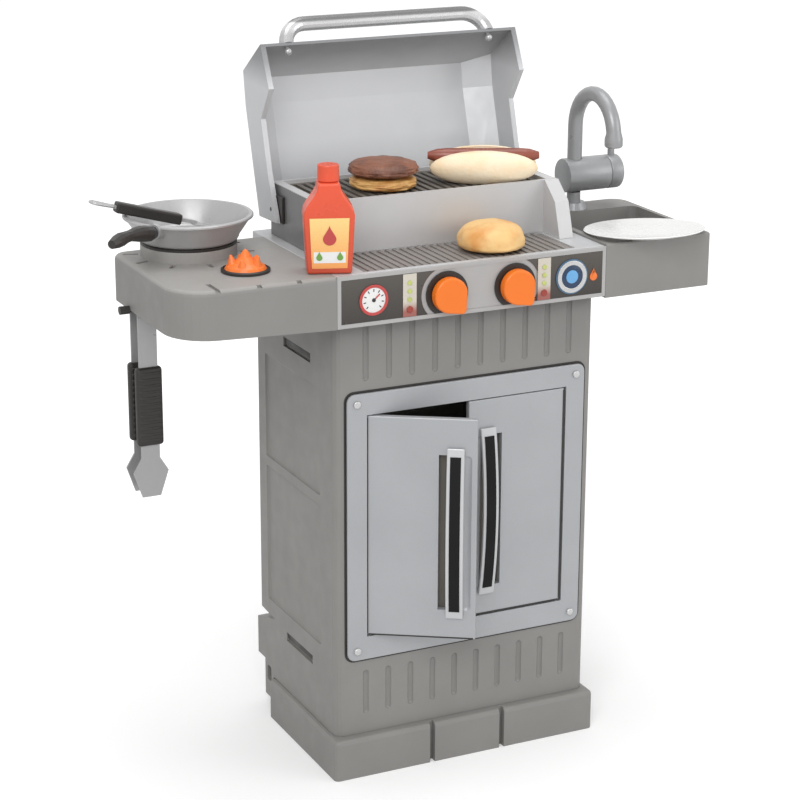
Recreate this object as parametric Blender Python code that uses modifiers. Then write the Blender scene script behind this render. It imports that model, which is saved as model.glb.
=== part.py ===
"""Toy barbecue grill: a moulded cabinet with two doors, a lidded grill box, a burner shelf, a sink
shelf and play food.

Metres, +Z up. The origin lies on the floor under the middle of the cabinet, and the front faces -Y.
Places in depth are mostly given behind the cabinet's front face, FRONT.
"""

import math

import bmesh
import bpy
from mathutils import Matrix, Vector

# Gaps, overruns and small roundings
GAP = 0.0003
OVERRUN = 0.003
MERGE = 0.00001
SMALL_ROUND = 0.0012
MOULD_ROUND = 0.003

# Cabinet
CABINET_WIDTH = 0.350
CABINET_DEPTH = 0.240
CABINET_TOP = 0.580
CABINET_WALL = 0.005
CABINET_CORNER = 0.012
FRONT = -CABINET_DEPTH / 2
BACK = CABINET_DEPTH / 2
CABINET_SIDE = CABINET_WIDTH / 2

PLINTH_HEIGHT = 0.053
PLINTH_SIDE_LEDGE = 0.007
PLINTH_FRONT_LEDGE = 0.013
PLINTH_BACK_INSET = 0.040
PLINTH_FLOOR = 0.006
PLINTH_WALL = 0.016
PLINTH_ROUND = 0.006
PLINTH_GROOVE_WIDTH = 0.007
PLINTH_GROOVE_DEPTH = 0.009
PLINTH_MIDDLE_BLOCK = 0.091

NOTCH_TOP = 0.1405
NOTCH_DEPTH = 0.046
NOTCH_MOUTH = 0.0205
STEP_OUT = 0.014
STEP_BOTTOM = 0.070
FOOT_INSET = 0.012
FOOT_BOTTOM = 0.020
FOOT_HOLE_WIDTH = 0.013
FOOT_HOLE_HEIGHT = 0.021
FOOT_HOLE_DEPTH = 0.014

FLUTE_COUNT = 10
FLUTE_PITCH = 0.0305
FLUTE_WIDTH = 0.008
FLUTE_DEPTH = 0.003
FLUTE_SHIFT = 0.002
FLUTE_SIDES = 24
UPPER_FLUTE_BOTTOM = 0.508
LOWER_FLUTE_BOTTOM = 0.079
LOWER_FLUTE_TOP = 0.137

SIDE_PANEL_FRONT = 0.046
SIDE_PANEL_LENGTH = 0.168
SIDE_PANEL_DEPTH = 0.0025
UPPER_PANEL_BOTTOM = 0.3555
UPPER_PANEL_TOP = 0.491
LOWER_PANEL_BOTTOM = 0.1595
LOWER_PANEL_TOP = 0.343
SIDE_SLOT_FRONT = 0.072
SIDE_SLOT_LENGTH = 0.082
SIDE_SLOT_HEIGHT = 0.012
SIDE_SLOT_DEPTH = 0.0035
UPPER_SLOT_MIDDLE = 0.522
LOWER_SLOT_MIDDLE = 0.129

BACK_HATCH_WIDTH = 0.270
BACK_HATCH_BOTTOM = 0.200
BACK_HATCH_TOP = 0.540
BACK_LIP = 0.008
BACK_PANEL_THICKNESS = 0.0025
STORAGE_FLOOR_THICKNESS = 0.004

# Door frame and doors
FRAME_WIDTH = 0.322
FRAME_BOTTOM = 0.153
FRAME_TOP = 0.494
FRAME_CORNER = 0.010
FRAME_THICKNESS = 0.004
OPENING_WIDTH = 0.271
OPENING_BOTTOM = 0.183
OPENING_TOP = 0.467
SLEEVE_WALL = 0.0025
SLEEVE_DEPTH = 0.014
RIVET_RADIUS = 0.004
RIVET_INSET = 0.0125

DOOR_THICKNESS = 0.008
DOOR_CLEARANCE = 0.0015
DOOR_RECESS = 0.0003
DOOR_REST_ANGLE = math.radians(32)
PIN_RADIUS = 0.0018
PIN_SEAT = 0.008
HANDLE_SPAN = 0.216
HANDLE_WIDTH = 0.021
HANDLE_BOW = 0.010
HANDLE_THICKNESS = 0.004
HANDLE_EDGE_INSET = 0.015
HANDLE_MIDDLE = 0.321
SLOT_OUTER_INSET = 0.046
SLOT_INNER_INSET = 0.017
SLOT_SPAN = 0.198
SCOOP_WIDTH = 0.011
SCOOP_DEPTH = 0.002

# Deck, control panel and griddle
DECK_TOP = 0.643
DECK_SIDE_LEDGE = 0.004
DECK_FRONT_LEDGE = 0.0135
DECK_WALL = 0.005
DECK_END_WALL = 0.0078
DECK_PLATE = 0.006
PANEL_THICKNESS = 0.0034
PANEL_BORDER = 0.005
PANEL_RECESS = 0.001
STICKER_THICKNESS = 0.0006
HALO_RADIUS = 0.0335
KNOB_SPACING = 0.091
KNOB_SHIFT = 0.008
KNOB_HEIGHT = 0.608
KNOB_RADIUS = 0.0215
KNOB_THICKNESS = 0.0125
KNOB_POINT_SHARES = (0.93, 1.12, 0.18)
KNOB_RING_RADIUS = 0.0275
KNOB_RING_THICKNESS = 0.002
KNOB_SHAFT_RADIUS = 0.005
KNOB_SHAFT_LENGTH = 0.012
LEFT_STRIP_MIDDLE = -0.0865
RIGHT_STRIP_MIDDLE = 0.0930
STRIP_WIDTH = 0.0175
DIAL_OFFSET = 0.131
DIAL_HEIGHT = 0.6105
DIAL_RADIUS = 0.0217
DIAL_THICKNESS = 0.0012

GRIDDLE_WIDTH = 0.281
GRIDDLE_FRONT_INSET = 0.0065
GRIDDLE_BASE = 0.0012
GRIDDLE_POCKET = 0.003
RIB_PITCH = 0.010
RIB_WIDTH = 0.005
RIB_COUNT = 27

# Grill box and grate
BOX_FRONT = 0.081
BOX_BACK = 0.2145
BOX_WIDTH = 0.328
BOX_TOP = 0.709
BOX_FLOOR = 0.006
BOX_WALL = 0.005
CHEEK_THICKNESS = 0.019
CHEEK_FOOT = 0.043
CHEEK_SHOULDER = 0.029
CHEEK_SHOULDER_HEIGHT = 0.687
GRATE_WIDTH = 0.300
GRATE_THICKNESS = 0.0065
GRATE_DROP = 0.0045
GRATE_LEDGE = 0.006
GRATE_FRAME = 0.006
GRATE_BAR_PITCH = 0.0115
GRATE_BAR_WIDTH = 0.006
GRATE_BARS = 24

# Lid
LID_HINGE_BEHIND = 0.190
LID_HINGE_HEIGHT = 0.680
LID_OPEN_ANGLE = math.radians(95)
LID_REACH = 0.199
LID_RISE = 0.069
LID_CROWN = 0.017
LID_WIDTH = 0.349
LID_CROWN_WIDTH = 0.267
LID_WALL = 0.0035
LID_SIDE_WALL = 0.0065
LID_BACK_CLEARANCE = 0.002
LID_MOUTH = 0.010
LID_OUTLINE_SHARES = (
    (-1.0, 0.13), (-0.824, 1.0), (-0.608, 0.957), (0.065, 0.55),
    (0.077, -0.213), (-0.226, 0.07), (-0.543, 0.261), (-0.736, -0.174),
)
LID_CROWN_SHARES = (
    (0.0, 0.0), (0.583, 1.0), (0.10, 1.0), (0.60, 0.80),
    (0.50, 0.25), (0.0, 0.0), (0.0, 0.0), (0.0, 0.0),
)
LID_PIN_RADIUS = 0.0025
LID_BRACKET_FRONT = 0.020
LID_BRACKET_BACK = 0.008
LID_BRACKET_LOW = 0.016
LID_BRACKET_HIGH = 0.018
LID_HANDLE_SPAN = 0.275
LID_HANDLE_RADIUS = 0.009
LID_HANDLE_FOOT = 0.0155
LID_HANDLE_STAND = 0.0275
LID_HANDLE_CORNER = 0.030
LID_SCREW_RADIUS = 0.0025
LID_SCREW_HEAD = 0.0048

# Left shelf with the burner
SHELF_LEFT = 0.375
SHELF_FRONT_LEDGE = 0.017
SHELF_BACK = 0.210
SHELF_FRONT_CORNER = 0.048
SHELF_BACK_CORNER = 0.020
SHELF_RISE = 0.007
SHELF_WALL = 0.0045
SHELF_PLATE = 0.005
SHELF_EDGE_ROUND = 0.006
PAN_X = -0.291
PAN_BEHIND = 0.166
RING_RADIUS = 0.058
RING_WIDTH = 0.012
RING_HEIGHT = 0.0032
PLATEAU_HEIGHT = 0.0135
RING_SLOTS = 10
RING_SLOT_RADIUS = 0.0695
RING_SLOT_LENGTH = 0.018
SLOT_WIDTH = 0.006
SLOT_DEPTH = 0.003
FRONT_SLOTS = ((-0.325, 0.000, 0.034), (-0.274, -0.0135, 0.008), (-0.225, -0.0195, 0.020))
FLAME_X = -0.263
FLAME_BEHIND = 0.055
FLAME_DISC_RADIUS = 0.029
FLAME_DISC_THICKNESS = 0.004
FLAME_DISC_LIP = 0.0025
FLAME_HEIGHT = 0.023
FLAME_SHAPE_SHARES = ((0.10, 0.93), (0.30, 0.60), (0.55, 0.32), (0.88, 0.14), (0.96, 0))
FLAME_ROOT_SHARES = (0.70, 0.08)
FLAME_LEAN_SHARE = 0.12
FLAME_TONGUE_SHARES = (0.8, 0.15)
FLAME_SPREAD = 0.021
FLAME_TONGUE_RADIUS = 0.0095
FLAME_TONGUES = 5

# Right shelf with the sink
SINK_RIGHT = 0.330
SINK_BACK = 0.205
SINK_TOP = 0.645
SINK_BOTTOM = 0.578
SINK_SIDE_RIM = 0.008
SINK_FRONT_RIM = 0.008
BASIN_BACK = 0.155
BASIN_DEPTH = 0.050
BASIN_CORNER = 0.010
SINK_BACK_CORNER = 0.022
SINK_FRONT_CORNER = 0.006
SINK_UNDER_WALL = 0.006

# Faucet
FAUCET_X = 0.2415
FAUCET_BEHIND = 0.173
FLANGE_RADIUS = 0.0175
FLANGE_THICKNESS = 0.009
STEM_RADIUS = 0.0088
BODY_HEIGHT = 0.6895
BODY_RADIUS = 0.022
BODY_LEFT = 0.2245
BODY_RIGHT = 0.3045
BODY_TURNING_END = 0.018
SPOUT_RADIUS = 0.0095
SPOUT_TOP = 0.8015
SPOUT_REACH = 0.0955
NOZZLE_RADIUS = 0.0114
NOZZLE_LENGTH = 0.022
NOZZLE_BOTTOM = 0.742
TAP_PEG_RADIUS = 0.0045
TAP_PEG_LENGTH = 0.014

# Pan
PAN_RIM_RADIUS = 0.078
PAN_WALL_RADIUS = 0.0755
PAN_BASE_RADIUS = 0.061
PAN_HEIGHT = 0.0315
PAN_WALL = 0.0025
PAN_FLOOR = 0.003
PAN_BASE_ROUND = 0.007
PAN_LIP = 0.003
PAN_HANDLE_ANGLE = math.radians(219)
PAN_HANDLE_PITCH = math.radians(5)
PAN_HANDLE_LENGTH = 0.0895
PAN_HANDLE_RADIUS = 0.0095
PAN_HANDLE_HEIGHT = 0.0177
PAN_HANDLE_BOW_SHARES = (0.35, 0.3)
PAN_MOUNT_LENGTH = 0.0125
PAN_MOUNT_RADIUS = 0.0095
PAN_HANDLE_THICKNESS_SHARES = (0.78, 1.0, 1.02, 0.98, 0.86, 0.70, 0.74, 0.86, 0.80, 0.55)

# Spatula
SPATULA_TIP_X = -0.246
SPATULA_TIP_BEHIND = 0.184
SPATULA_PITCH = math.radians(15.8)
BLADE_LENGTH = 0.036
BLADE_WIDTH = 0.024
BLADE_THICKNESS = 0.002
SHAFT_WIDTH = 0.008
SHAFT_THICKNESS = 0.004
SPATULA_GRIP_START = 0.051
SPATULA_GRIP_LENGTH = 0.084
SPATULA_GRIP_WIDTH = 0.015
SPATULA_GRIP_THICKNESS = 0.013
LOOP_LENGTH = 0.030
LOOP_WIDTH = 0.016
LOOP_WIRE = 0.0018

# Tongs and their peg
PEG_BEHIND = 0.146
PEG_HEIGHT = 0.587
PEG_RADIUS = 0.0035
PEG_END = 0.338
PEG_HEAD_RADIUS = 0.005
PEG_HEAD_LENGTH = 0.012
TONGS_LEFT = 0.370
TONGS_WIDTH = 0.023
TONGS_STRIP = 0.003
TONGS_SPREAD = 0.026
TONGS_HANG = 0.0008
TONGS_BEND_STEPS = 16
TONGS_BOTTOM = 0.355
JAW_TOP = 0.392
JAW_WIDTH = 0.044
TONGS_GRIP_TOP = 0.518
TONGS_GRIP_BOTTOM = 0.420
TONGS_GRIP_WIDTH = 0.033
TONGS_GRIP_THICKNESS = 0.011

# Bottle
BOTTLE_X = -0.175
BOTTLE_BEHIND = 0.016
BOTTLE_TURN = math.radians(-20)
BOTTLE_HEIGHT = 0.1255
BOTTLE_DEPTH = 0.036
BOTTLE_BASE_WIDTH = 0.052
BOTTLE_SHOULDER_WIDTH = 0.0595
BOTTLE_SHOULDER_HEIGHT = 0.068
BOTTLE_NECK_HEIGHT = 0.106
BOTTLE_NECK_WIDTH = 0.026
BOTTLE_SHOULDER_STEPS = 6
CAP_RADIUS = 0.0130
CAP_TOP_RADIUS = 0.0125
LABEL_BOTTOM = 0.007
LABEL_TOP = 0.066
LABEL_BOTTOM_WIDTH = 0.041
LABEL_TOP_WIDTH = 0.046
LABEL_THICKNESS = 0.0006

# Food and plate
BURGER_X = -0.045
BURGER_BEHIND = 0.143
BUN_BOTTOM_RADIUS = 0.043
BUN_BOTTOM_HEIGHT = 0.019
PATTY_RADIUS = 0.0455
PATTY_HEIGHT = 0.019
BUN_TOP_X = 0.045
BUN_TOP_BEHIND = 0.030
BUN_TOP_RADIUS = 0.0425
BUN_TOP_HEIGHT = 0.0355
BUN_EDGE_SHARE = 0.5
BUN_TOP_WAIST_SHARE = 0.42
BUN_BOTTOM_WAIST_SHARE = 0.6
PATTY_WAIST_SHARE = 0.5
HOT_DOG_X = 0.084
HOT_DOG_BEHIND = 0.126
HOT_DOG_TURN = math.radians(-24)
HOT_DOG_LENGTH = 0.134
HOT_DOG_HALF_WIDTH = 0.035
HOT_DOG_APART = 0.027
HOT_DOG_HEIGHT = 0.043
HOT_DOG_REAR_HEIGHT = 0.045
SAUSAGE_RADIUS = 0.0098
SAUSAGE_LENGTH = 0.138
SAUSAGE_HEIGHT = 0.032
SAUSAGE_SAG = 0.001
SAUSAGE_END_SHARES = (0.45, 0.85, 0.97)
SAUSAGE_STEPS = 12
PLATE_X = 0.2555
PLATE_BEHIND = 0.021
PLATE_RADIUS = 0.0753
PLATE_HEIGHT = 0.007
PLATE_WALL = 0.002
PLATE_TILT = math.radians(4.3)
PLATE_DIP = 0.0018
PLATE_WELL_SHARE = 0.68


def clear_scene():
    """Removes the scene's objects."""
    for old in list(bpy.data.objects):
        bpy.data.objects.remove(old, do_unlink=True)


def new_collection(name):
    """Collection linked to the scene."""
    collection = bpy.data.collections.new(name)
    bpy.context.scene.collection.children.link(collection)
    return collection


clear_scene()
PARTS = new_collection("toy_barbecue_grill")
CUTTERS = new_collection("cutters")


def plastic(name, colour, roughness=0.45, metallic=0.0):
    """Principled material of one colour."""
    made = bpy.data.materials.new(name)
    made.use_nodes = True
    shader = made.node_tree.nodes["Principled BSDF"]
    shader.inputs["Base Color"].default_value = (*colour, 1.0)
    shader.inputs["Roughness"].default_value = roughness
    shader.inputs["Metallic"].default_value = metallic
    made.diffuse_color = (*colour, 1.0)
    return made


def linked(obj):
    """Object linked to the parts' collection."""
    PARTS.objects.link(obj)
    return obj


def from_bmesh(name, bm):
    """Object from a bmesh, which is freed."""
    mesh = bpy.data.meshes.new(name)
    bm.to_mesh(mesh)
    bm.free()
    return linked(bpy.data.objects.new(name, mesh))


def block(name, low, high):
    """Box between two corners."""
    bm = bmesh.new()
    bmesh.ops.create_cube(bm, size=1)
    size = Vector(high) - Vector(low)
    middle = (Vector(high) + Vector(low)) / 2
    bmesh.ops.scale(bm, vec=size, verts=bm.verts)
    bmesh.ops.translate(bm, vec=middle, verts=bm.verts)
    return from_bmesh(name, bm)


def rod(name, start, end, radius, sides=24, end_radius=None):
    """Cylinder or cone between two points."""
    start, end = Vector(start), Vector(end)
    along = end - start
    bm = bmesh.new()
    far_radius = radius if end_radius is None else end_radius
    bmesh.ops.create_cone(bm, cap_ends=True, segments=sides, radius1=radius, radius2=far_radius,
                          depth=along.length)
    turn = along.to_track_quat("Z", "Y").to_matrix().to_4x4()
    place = Matrix.Translation((start + end) / 2) @ turn
    bmesh.ops.transform(bm, matrix=place, verts=bm.verts)
    return from_bmesh(name, bm)


def ball(name, centre, radii, around=24, rings=12):
    """Ellipsoid with its radii along X, Y and Z."""
    bm = bmesh.new()
    bmesh.ops.create_uvsphere(bm, u_segments=around, v_segments=rings, radius=1)
    bmesh.ops.scale(bm, vec=Vector(radii), verts=bm.verts)
    bmesh.ops.translate(bm, vec=Vector(centre), verts=bm.verts)
    return from_bmesh(name, bm)


def capsules(name, places, radius, low, high, sides):
    """Upright capsules in one object, their end balls centred at low and high."""
    bm = bmesh.new()
    for x, y in places:
        made = bmesh.ops.create_uvsphere(bm, u_segments=sides, v_segments=sides // 2 - 1, radius=radius)
        for vert in made["verts"]:
            vert.co += Vector((x, y, high if vert.co.z > 0 else low))
    return from_bmesh(name, bm)


def as_mesh(curve_object):
    """Mesh object made from a curve object, its caps welded."""
    name = curve_object.name
    bpy.context.view_layer.update()
    evaluated = curve_object.evaluated_get(bpy.context.evaluated_depsgraph_get())
    mesh = bpy.data.meshes.new_from_object(evaluated)
    bm = bmesh.new()
    bm.from_mesh(mesh)
    bmesh.ops.remove_doubles(bm, verts=bm.verts, dist=MERGE)
    bmesh.ops.recalc_face_normals(bm, faces=bm.faces)
    bm.to_mesh(mesh)
    bm.free()
    made = bpy.data.objects.new(name, mesh)
    made.matrix_world = curve_object.matrix_world.copy()
    curve = curve_object.data
    bpy.data.objects.remove(curve_object)
    bpy.data.curves.remove(curve)
    made.name = name
    return linked(made)


def axis_frame(axis, middle):
    """Matrix that lays a flat outline square to an axis: u, v run along the other two axes."""
    if axis == "X":
        rows = ((0, 0, 1, middle), (1, 0, 0, 0), (0, 1, 0, 0), (0, 0, 0, 1))
    elif axis == "Y":
        rows = ((1, 0, 0, 0), (0, 0, -1, middle), (0, 1, 0, 0), (0, 0, 0, 1))
    else:
        rows = ((1, 0, 0, 0), (0, 1, 0, 0), (0, 0, 1, middle), (0, 0, 0, 1))
    return Matrix(rows)


def flat(name, outline, low, high, axis="Z"):
    """Flat outline swept from low to high along an axis, its faces joined into whole sides."""
    curve = bpy.data.curves.new(name, "CURVE")
    curve.dimensions = "2D"
    curve.fill_mode = "BOTH"
    curve.extrude = abs(high - low) / 2
    spline = curve.splines.new("POLY")
    spline.points.add(len(outline) - 1)
    for point, (u, v) in zip(spline.points, outline):
        point.co = (u, v, 0, 1)
    spline.use_cyclic_u = True
    flat_object = linked(bpy.data.objects.new(name, curve))
    flat_object.matrix_world = axis_frame(axis, (low + high) / 2)
    made = as_mesh(flat_object)
    bm = bmesh.new()
    bm.from_mesh(made.data)
    bmesh.ops.dissolve_limit(bm, angle_limit=math.radians(0.5), verts=bm.verts, edges=bm.edges)
    bm.to_mesh(made.data)
    bm.free()
    return made


def tube(name, points, radius, resolution=2, shares=None, cyclic=False):
    """Round tube along points; shares give its thickness at each point."""
    curve = bpy.data.curves.new(name, "CURVE")
    curve.dimensions = "3D"
    curve.bevel_depth = radius
    curve.bevel_resolution = resolution
    curve.use_fill_caps = not cyclic
    spline = curve.splines.new("POLY")
    spline.points.add(len(points) - 1)
    for index, place in enumerate(points):
        spline.points[index].co = (*place, 1)
        if shares:
            spline.points[index].radius = shares[index]
    spline.use_cyclic_u = cyclic
    return as_mesh(linked(bpy.data.objects.new(name, curve)))


def turned(name, profile, centre, sides=48, closed=False):
    """Turned piece round Z: its profile's (radius, height) points run down the outer side."""
    mesh = bpy.data.meshes.new(name)
    verts = [(radius, 0, height) for radius, height in profile]
    edges = [(index, index + 1) for index in range(len(profile) - 1)]
    if closed:
        edges.append((len(profile) - 1, 0))
    mesh.from_pydata(verts, edges, [])
    made = linked(bpy.data.objects.new(name, mesh))
    made.location = centre
    screw = made.modifiers.new("Turn", "SCREW")
    screw.steps = sides
    screw.render_steps = sides
    screw.use_merge_vertices = True
    screw.merge_threshold = MERGE
    screw.use_smooth_shade = True
    return made


def arc(centre, radius, start, end, steps):
    """Points of an arc, its angles in degrees."""
    points = []
    for index in range(steps + 1):
        angle = math.radians(start + (end - start) * index / steps)
        points.append((centre[0] + radius * math.cos(angle), centre[1] + radius * math.sin(angle)))
    return points


def rounded_rectangle(left, right, low, high, radii, steps=4):
    """Outline with a rounding at each corner: right top, left top, left bottom, right bottom."""
    corners = ((right, high, -1, -1, 0), (left, high, 1, -1, 90), (left, low, 1, 1, 180),
               (right, low, -1, 1, 270))
    outline = []
    for (u, v, inward_u, inward_v, start), radius in zip(corners, radii):
        if radius:
            centre = (u + inward_u * radius, v + inward_v * radius)
            outline += arc(centre, radius, start, start + 90, steps)
        else:
            outline.append((u, v))
    return outline


def rounded_path(points, radius, steps=6):
    """Path whose inner corners are rounded, in three dimensions."""
    path = [Vector(points[0])]
    for before, corner, after in zip(points, points[1:], points[2:]):
        before, corner, after = Vector(before), Vector(corner), Vector(after)
        back = (before - corner).normalized()
        ahead = (after - corner).normalized()
        half = back.angle(ahead) / 2
        reach = radius / math.tan(half)
        centre = corner + (back + ahead).normalized() * (radius / math.sin(half))
        start = corner + back * reach - centre
        end = corner + ahead * reach - centre
        for index in range(steps + 1):
            share = index / steps
            sweep = math.pi - 2 * half
            blend = start * math.sin(sweep * (1 - share)) + end * math.sin(sweep * share)
            path.append(centre + blend / math.sin(sweep))
    path.append(Vector(points[-1]))
    return path


def offset_outline(points, distances):
    """Outline whose edges move inward by their distances; the points run clockwise or not."""
    doubled_area = sum(a[0] * b[1] - b[0] * a[1] for a, b in zip(points, points[1:] + points[:1]))
    side = 1 if doubled_area > 0 else -1
    lines = []
    for (a, b), distance in zip(zip(points, points[1:] + points[:1]), distances):
        along = (Vector(b) - Vector(a)).normalized()
        inward = Vector((-along.y, along.x)) * side
        lines.append((Vector(a) + inward * distance, along))
    moved = []
    for index in range(len(points)):
        place, along = lines[index - 1]
        other_place, other_along = lines[index]
        cross = along.x * other_along.y - along.y * other_along.x
        gap = other_place - place
        reach = (gap.x * other_along.y - gap.y * other_along.x) / cross
        moved.append(tuple(place + along * reach))
    return moved


def loft(name, sections):
    """Closed solid through sections that have as many points each."""
    bm = bmesh.new()
    rings = [[bm.verts.new(point) for point in section] for section in sections]
    for ring, following in zip(rings, rings[1:]):
        for index in range(len(ring)):
            bm.faces.new((ring[index - 1], ring[index], following[index], following[index - 1]))
    bm.faces.new(rings[0])
    bm.faces.new(rings[-1])
    bmesh.ops.recalc_face_normals(bm, faces=bm.faces)
    bmesh.ops.connect_verts_nonplanar(bm, angle_limit=math.radians(0.01), faces=bm.faces)
    return from_bmesh(name, bm)


def to_cutters(obj):
    """Makes an object a cutter or a guide."""
    PARTS.objects.unlink(obj)
    CUTTERS.objects.link(obj)
    obj.hide_render = True
    obj.display_type = "WIRE"
    return obj


def combine(target, operation, *tools):
    """Boolean of the target with each tool."""
    attach(target, *tools)
    for tool in tools:
        to_cutters(tool)
        boolean = target.modifiers.new(operation.title(), "BOOLEAN")
        boolean.operation = operation
        boolean.object = tool
    return target


def cut(target, *tools):
    """Takes the tools out of the target."""
    return combine(target, "DIFFERENCE", *tools)


def join(target, *tools):
    """Adds the tools to the target."""
    return combine(target, "UNION", *tools)


def soften(obj, width, segments=2, degrees=30):
    """Bevel on the edges that are sharper than an angle."""
    bevel = obj.modifiers.new("Round", "BEVEL")
    bevel.width = width
    bevel.segments = segments
    bevel.limit_method = "ANGLE"
    bevel.angle_limit = math.radians(degrees)
    return obj


def round_edges(obj, radius, segments, chosen):
    """Rounds the mesh's edges whose two end points, in the world, are chosen."""
    place = obj.matrix_world
    bm = bmesh.new()
    bm.from_mesh(obj.data)
    edges = [edge for edge in bm.edges
             if chosen(place @ edge.verts[0].co, place @ edge.verts[1].co)]
    bmesh.ops.bevel(bm, geom=edges, offset=radius, segments=segments, profile=0.5, affect="EDGES",
                    clamp_overlap=True)
    bm.to_mesh(obj.data)
    bm.free()
    return obj


def upright(a, b):
    """True for an edge along Z."""
    return abs(a.x - b.x) < MERGE and abs(a.y - b.y) < MERGE


def smooth(obj, degrees=35):
    """Smooth shading with sharp edges kept."""
    obj.data.shade_smooth()
    obj.data.set_sharp_from_angle(angle=math.radians(degrees))
    return obj


def paint(obj, material, name=None):
    """Gives an object its material, and a name if one is given."""
    if name:
        obj.name = name
        obj.data.name = name
    obj.data.materials.clear()
    obj.data.materials.append(material)
    return obj


def pivot(name, place):
    """Empty on a joint's axis."""
    empty = linked(bpy.data.objects.new(name, None))
    empty.location = place
    bpy.context.view_layer.update()
    return empty


def attach(parent, *children):
    """Parents objects where they are."""
    bpy.context.view_layer.update()
    for child in children:
        child.parent = parent
        child.matrix_parent_inverse = parent.matrix_world.inverted()


GREY = plastic("warm_grey_plastic", (0.27, 0.26, 0.24), 0.55)
SILVER = plastic("silver_plastic", (0.50, 0.51, 0.53), 0.38)
DOOR_SILVER = plastic("door_silver_plastic", (0.42, 0.45, 0.48), 0.40)
DARK = plastic("dark_grey_plastic", (0.10, 0.10, 0.105), 0.50)
BLACK = plastic("black_plastic", (0.018, 0.016, 0.015), 0.45)
ORANGE = plastic("orange_plastic", (0.95, 0.21, 0.015), 0.35)
BADGE = plastic("graphite_sticker", (0.03, 0.03, 0.03), 0.40)
LIGHTS = plastic("indicator_sticker", (0.55, 0.50, 0.45), 0.40)
DIAL = plastic("dial_sticker", (0.15, 0.35, 0.60), 0.35)
RIBBED = plastic("griddle_plastic", (0.16, 0.145, 0.14), 0.55)
STEEL = plastic("pan_silver", (0.42, 0.42, 0.42), 0.35)
FAUCET_GREY = plastic("faucet_grey", (0.30, 0.31, 0.32), 0.40)
RED = plastic("bottle_red", (0.72, 0.05, 0.02), 0.35)
LABEL = plastic("label_yellow", (0.95, 0.62, 0.15), 0.40)
BREAD = plastic("bread_yellow", (0.85, 0.50, 0.20), 0.55)
CREAM = plastic("bun_cream", (0.90, 0.72, 0.48), 0.55)
MEAT = plastic("patty_brown", (0.16, 0.055, 0.03), 0.45)
SAUSAGE_RED = plastic("sausage_red", (0.30, 0.05, 0.03), 0.40)
WHITE = plastic("plate_white", (0.85, 0.85, 0.84), 0.30)
FLAME = plastic("flame_orange", (0.95, 0.20, 0.02), 0.35)

PLINTH_SIDE = CABINET_SIDE + PLINTH_SIDE_LEDGE
PLINTH_FRONT = FRONT - PLINTH_FRONT_LEDGE
PLINTH_BACK = BACK - PLINTH_BACK_INSET
CABINET_BOTTOM = PLINTH_HEIGHT + GAP
NOTCH_FRONT = BACK - NOTCH_DEPTH
STEP_BACK = BACK + STEP_OUT
STEP_TOP = NOTCH_TOP - NOTCH_MOUTH
FOOT_BACK = BACK - FOOT_INSET
FOOT_FRONT = PLINTH_BACK + GAP


def base_plinth():
    """Tray under the cabinet with its closed floor below, its front split into three blocks."""
    plinth = block("base_plinth", (-PLINTH_SIDE, PLINTH_FRONT, 0), (PLINTH_SIDE, PLINTH_BACK, PLINTH_HEIGHT))
    round_edges(plinth, PLINTH_ROUND, 3, lambda a, b: upright(a, b) or min(a.z, b.z) > PLINTH_HEIGHT / 2)
    inside = block("plinth_inside",
                   (-PLINTH_SIDE + PLINTH_WALL, PLINTH_FRONT + PLINTH_WALL + PLINTH_GROOVE_DEPTH, PLINTH_FLOOR),
                   (PLINTH_SIDE - PLINTH_WALL, PLINTH_BACK - PLINTH_WALL, PLINTH_HEIGHT + OVERRUN))
    grooves = []
    for side in (-1, 1):
        middle = side * (PLINTH_MIDDLE_BLOCK + PLINTH_GROOVE_WIDTH) / 2
        grooves.append(block("plinth_groove",
                             (middle - PLINTH_GROOVE_WIDTH / 2, PLINTH_FRONT - OVERRUN, -OVERRUN),
                             (middle + PLINTH_GROOVE_WIDTH / 2, PLINTH_FRONT + PLINTH_GROOVE_DEPTH,
                              PLINTH_HEIGHT + OVERRUN)))
    cut(plinth, inside, *grooves)
    return paint(plinth, GREY)


def flute_cutter(name, low, high):
    """Row of capsules that cut shallow round-ended flutes into the front."""
    radius = (FLUTE_WIDTH ** 2 / 4 + FLUTE_DEPTH ** 2) / (2 * FLUTE_DEPTH)
    half_row = (FLUTE_COUNT - 1) / 2
    places = [((index - half_row) * FLUTE_PITCH + FLUTE_SHIFT, FRONT + FLUTE_DEPTH - radius)
              for index in range(FLUTE_COUNT)]
    return capsules(name, places, radius, low, high, FLUTE_SIDES)


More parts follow.
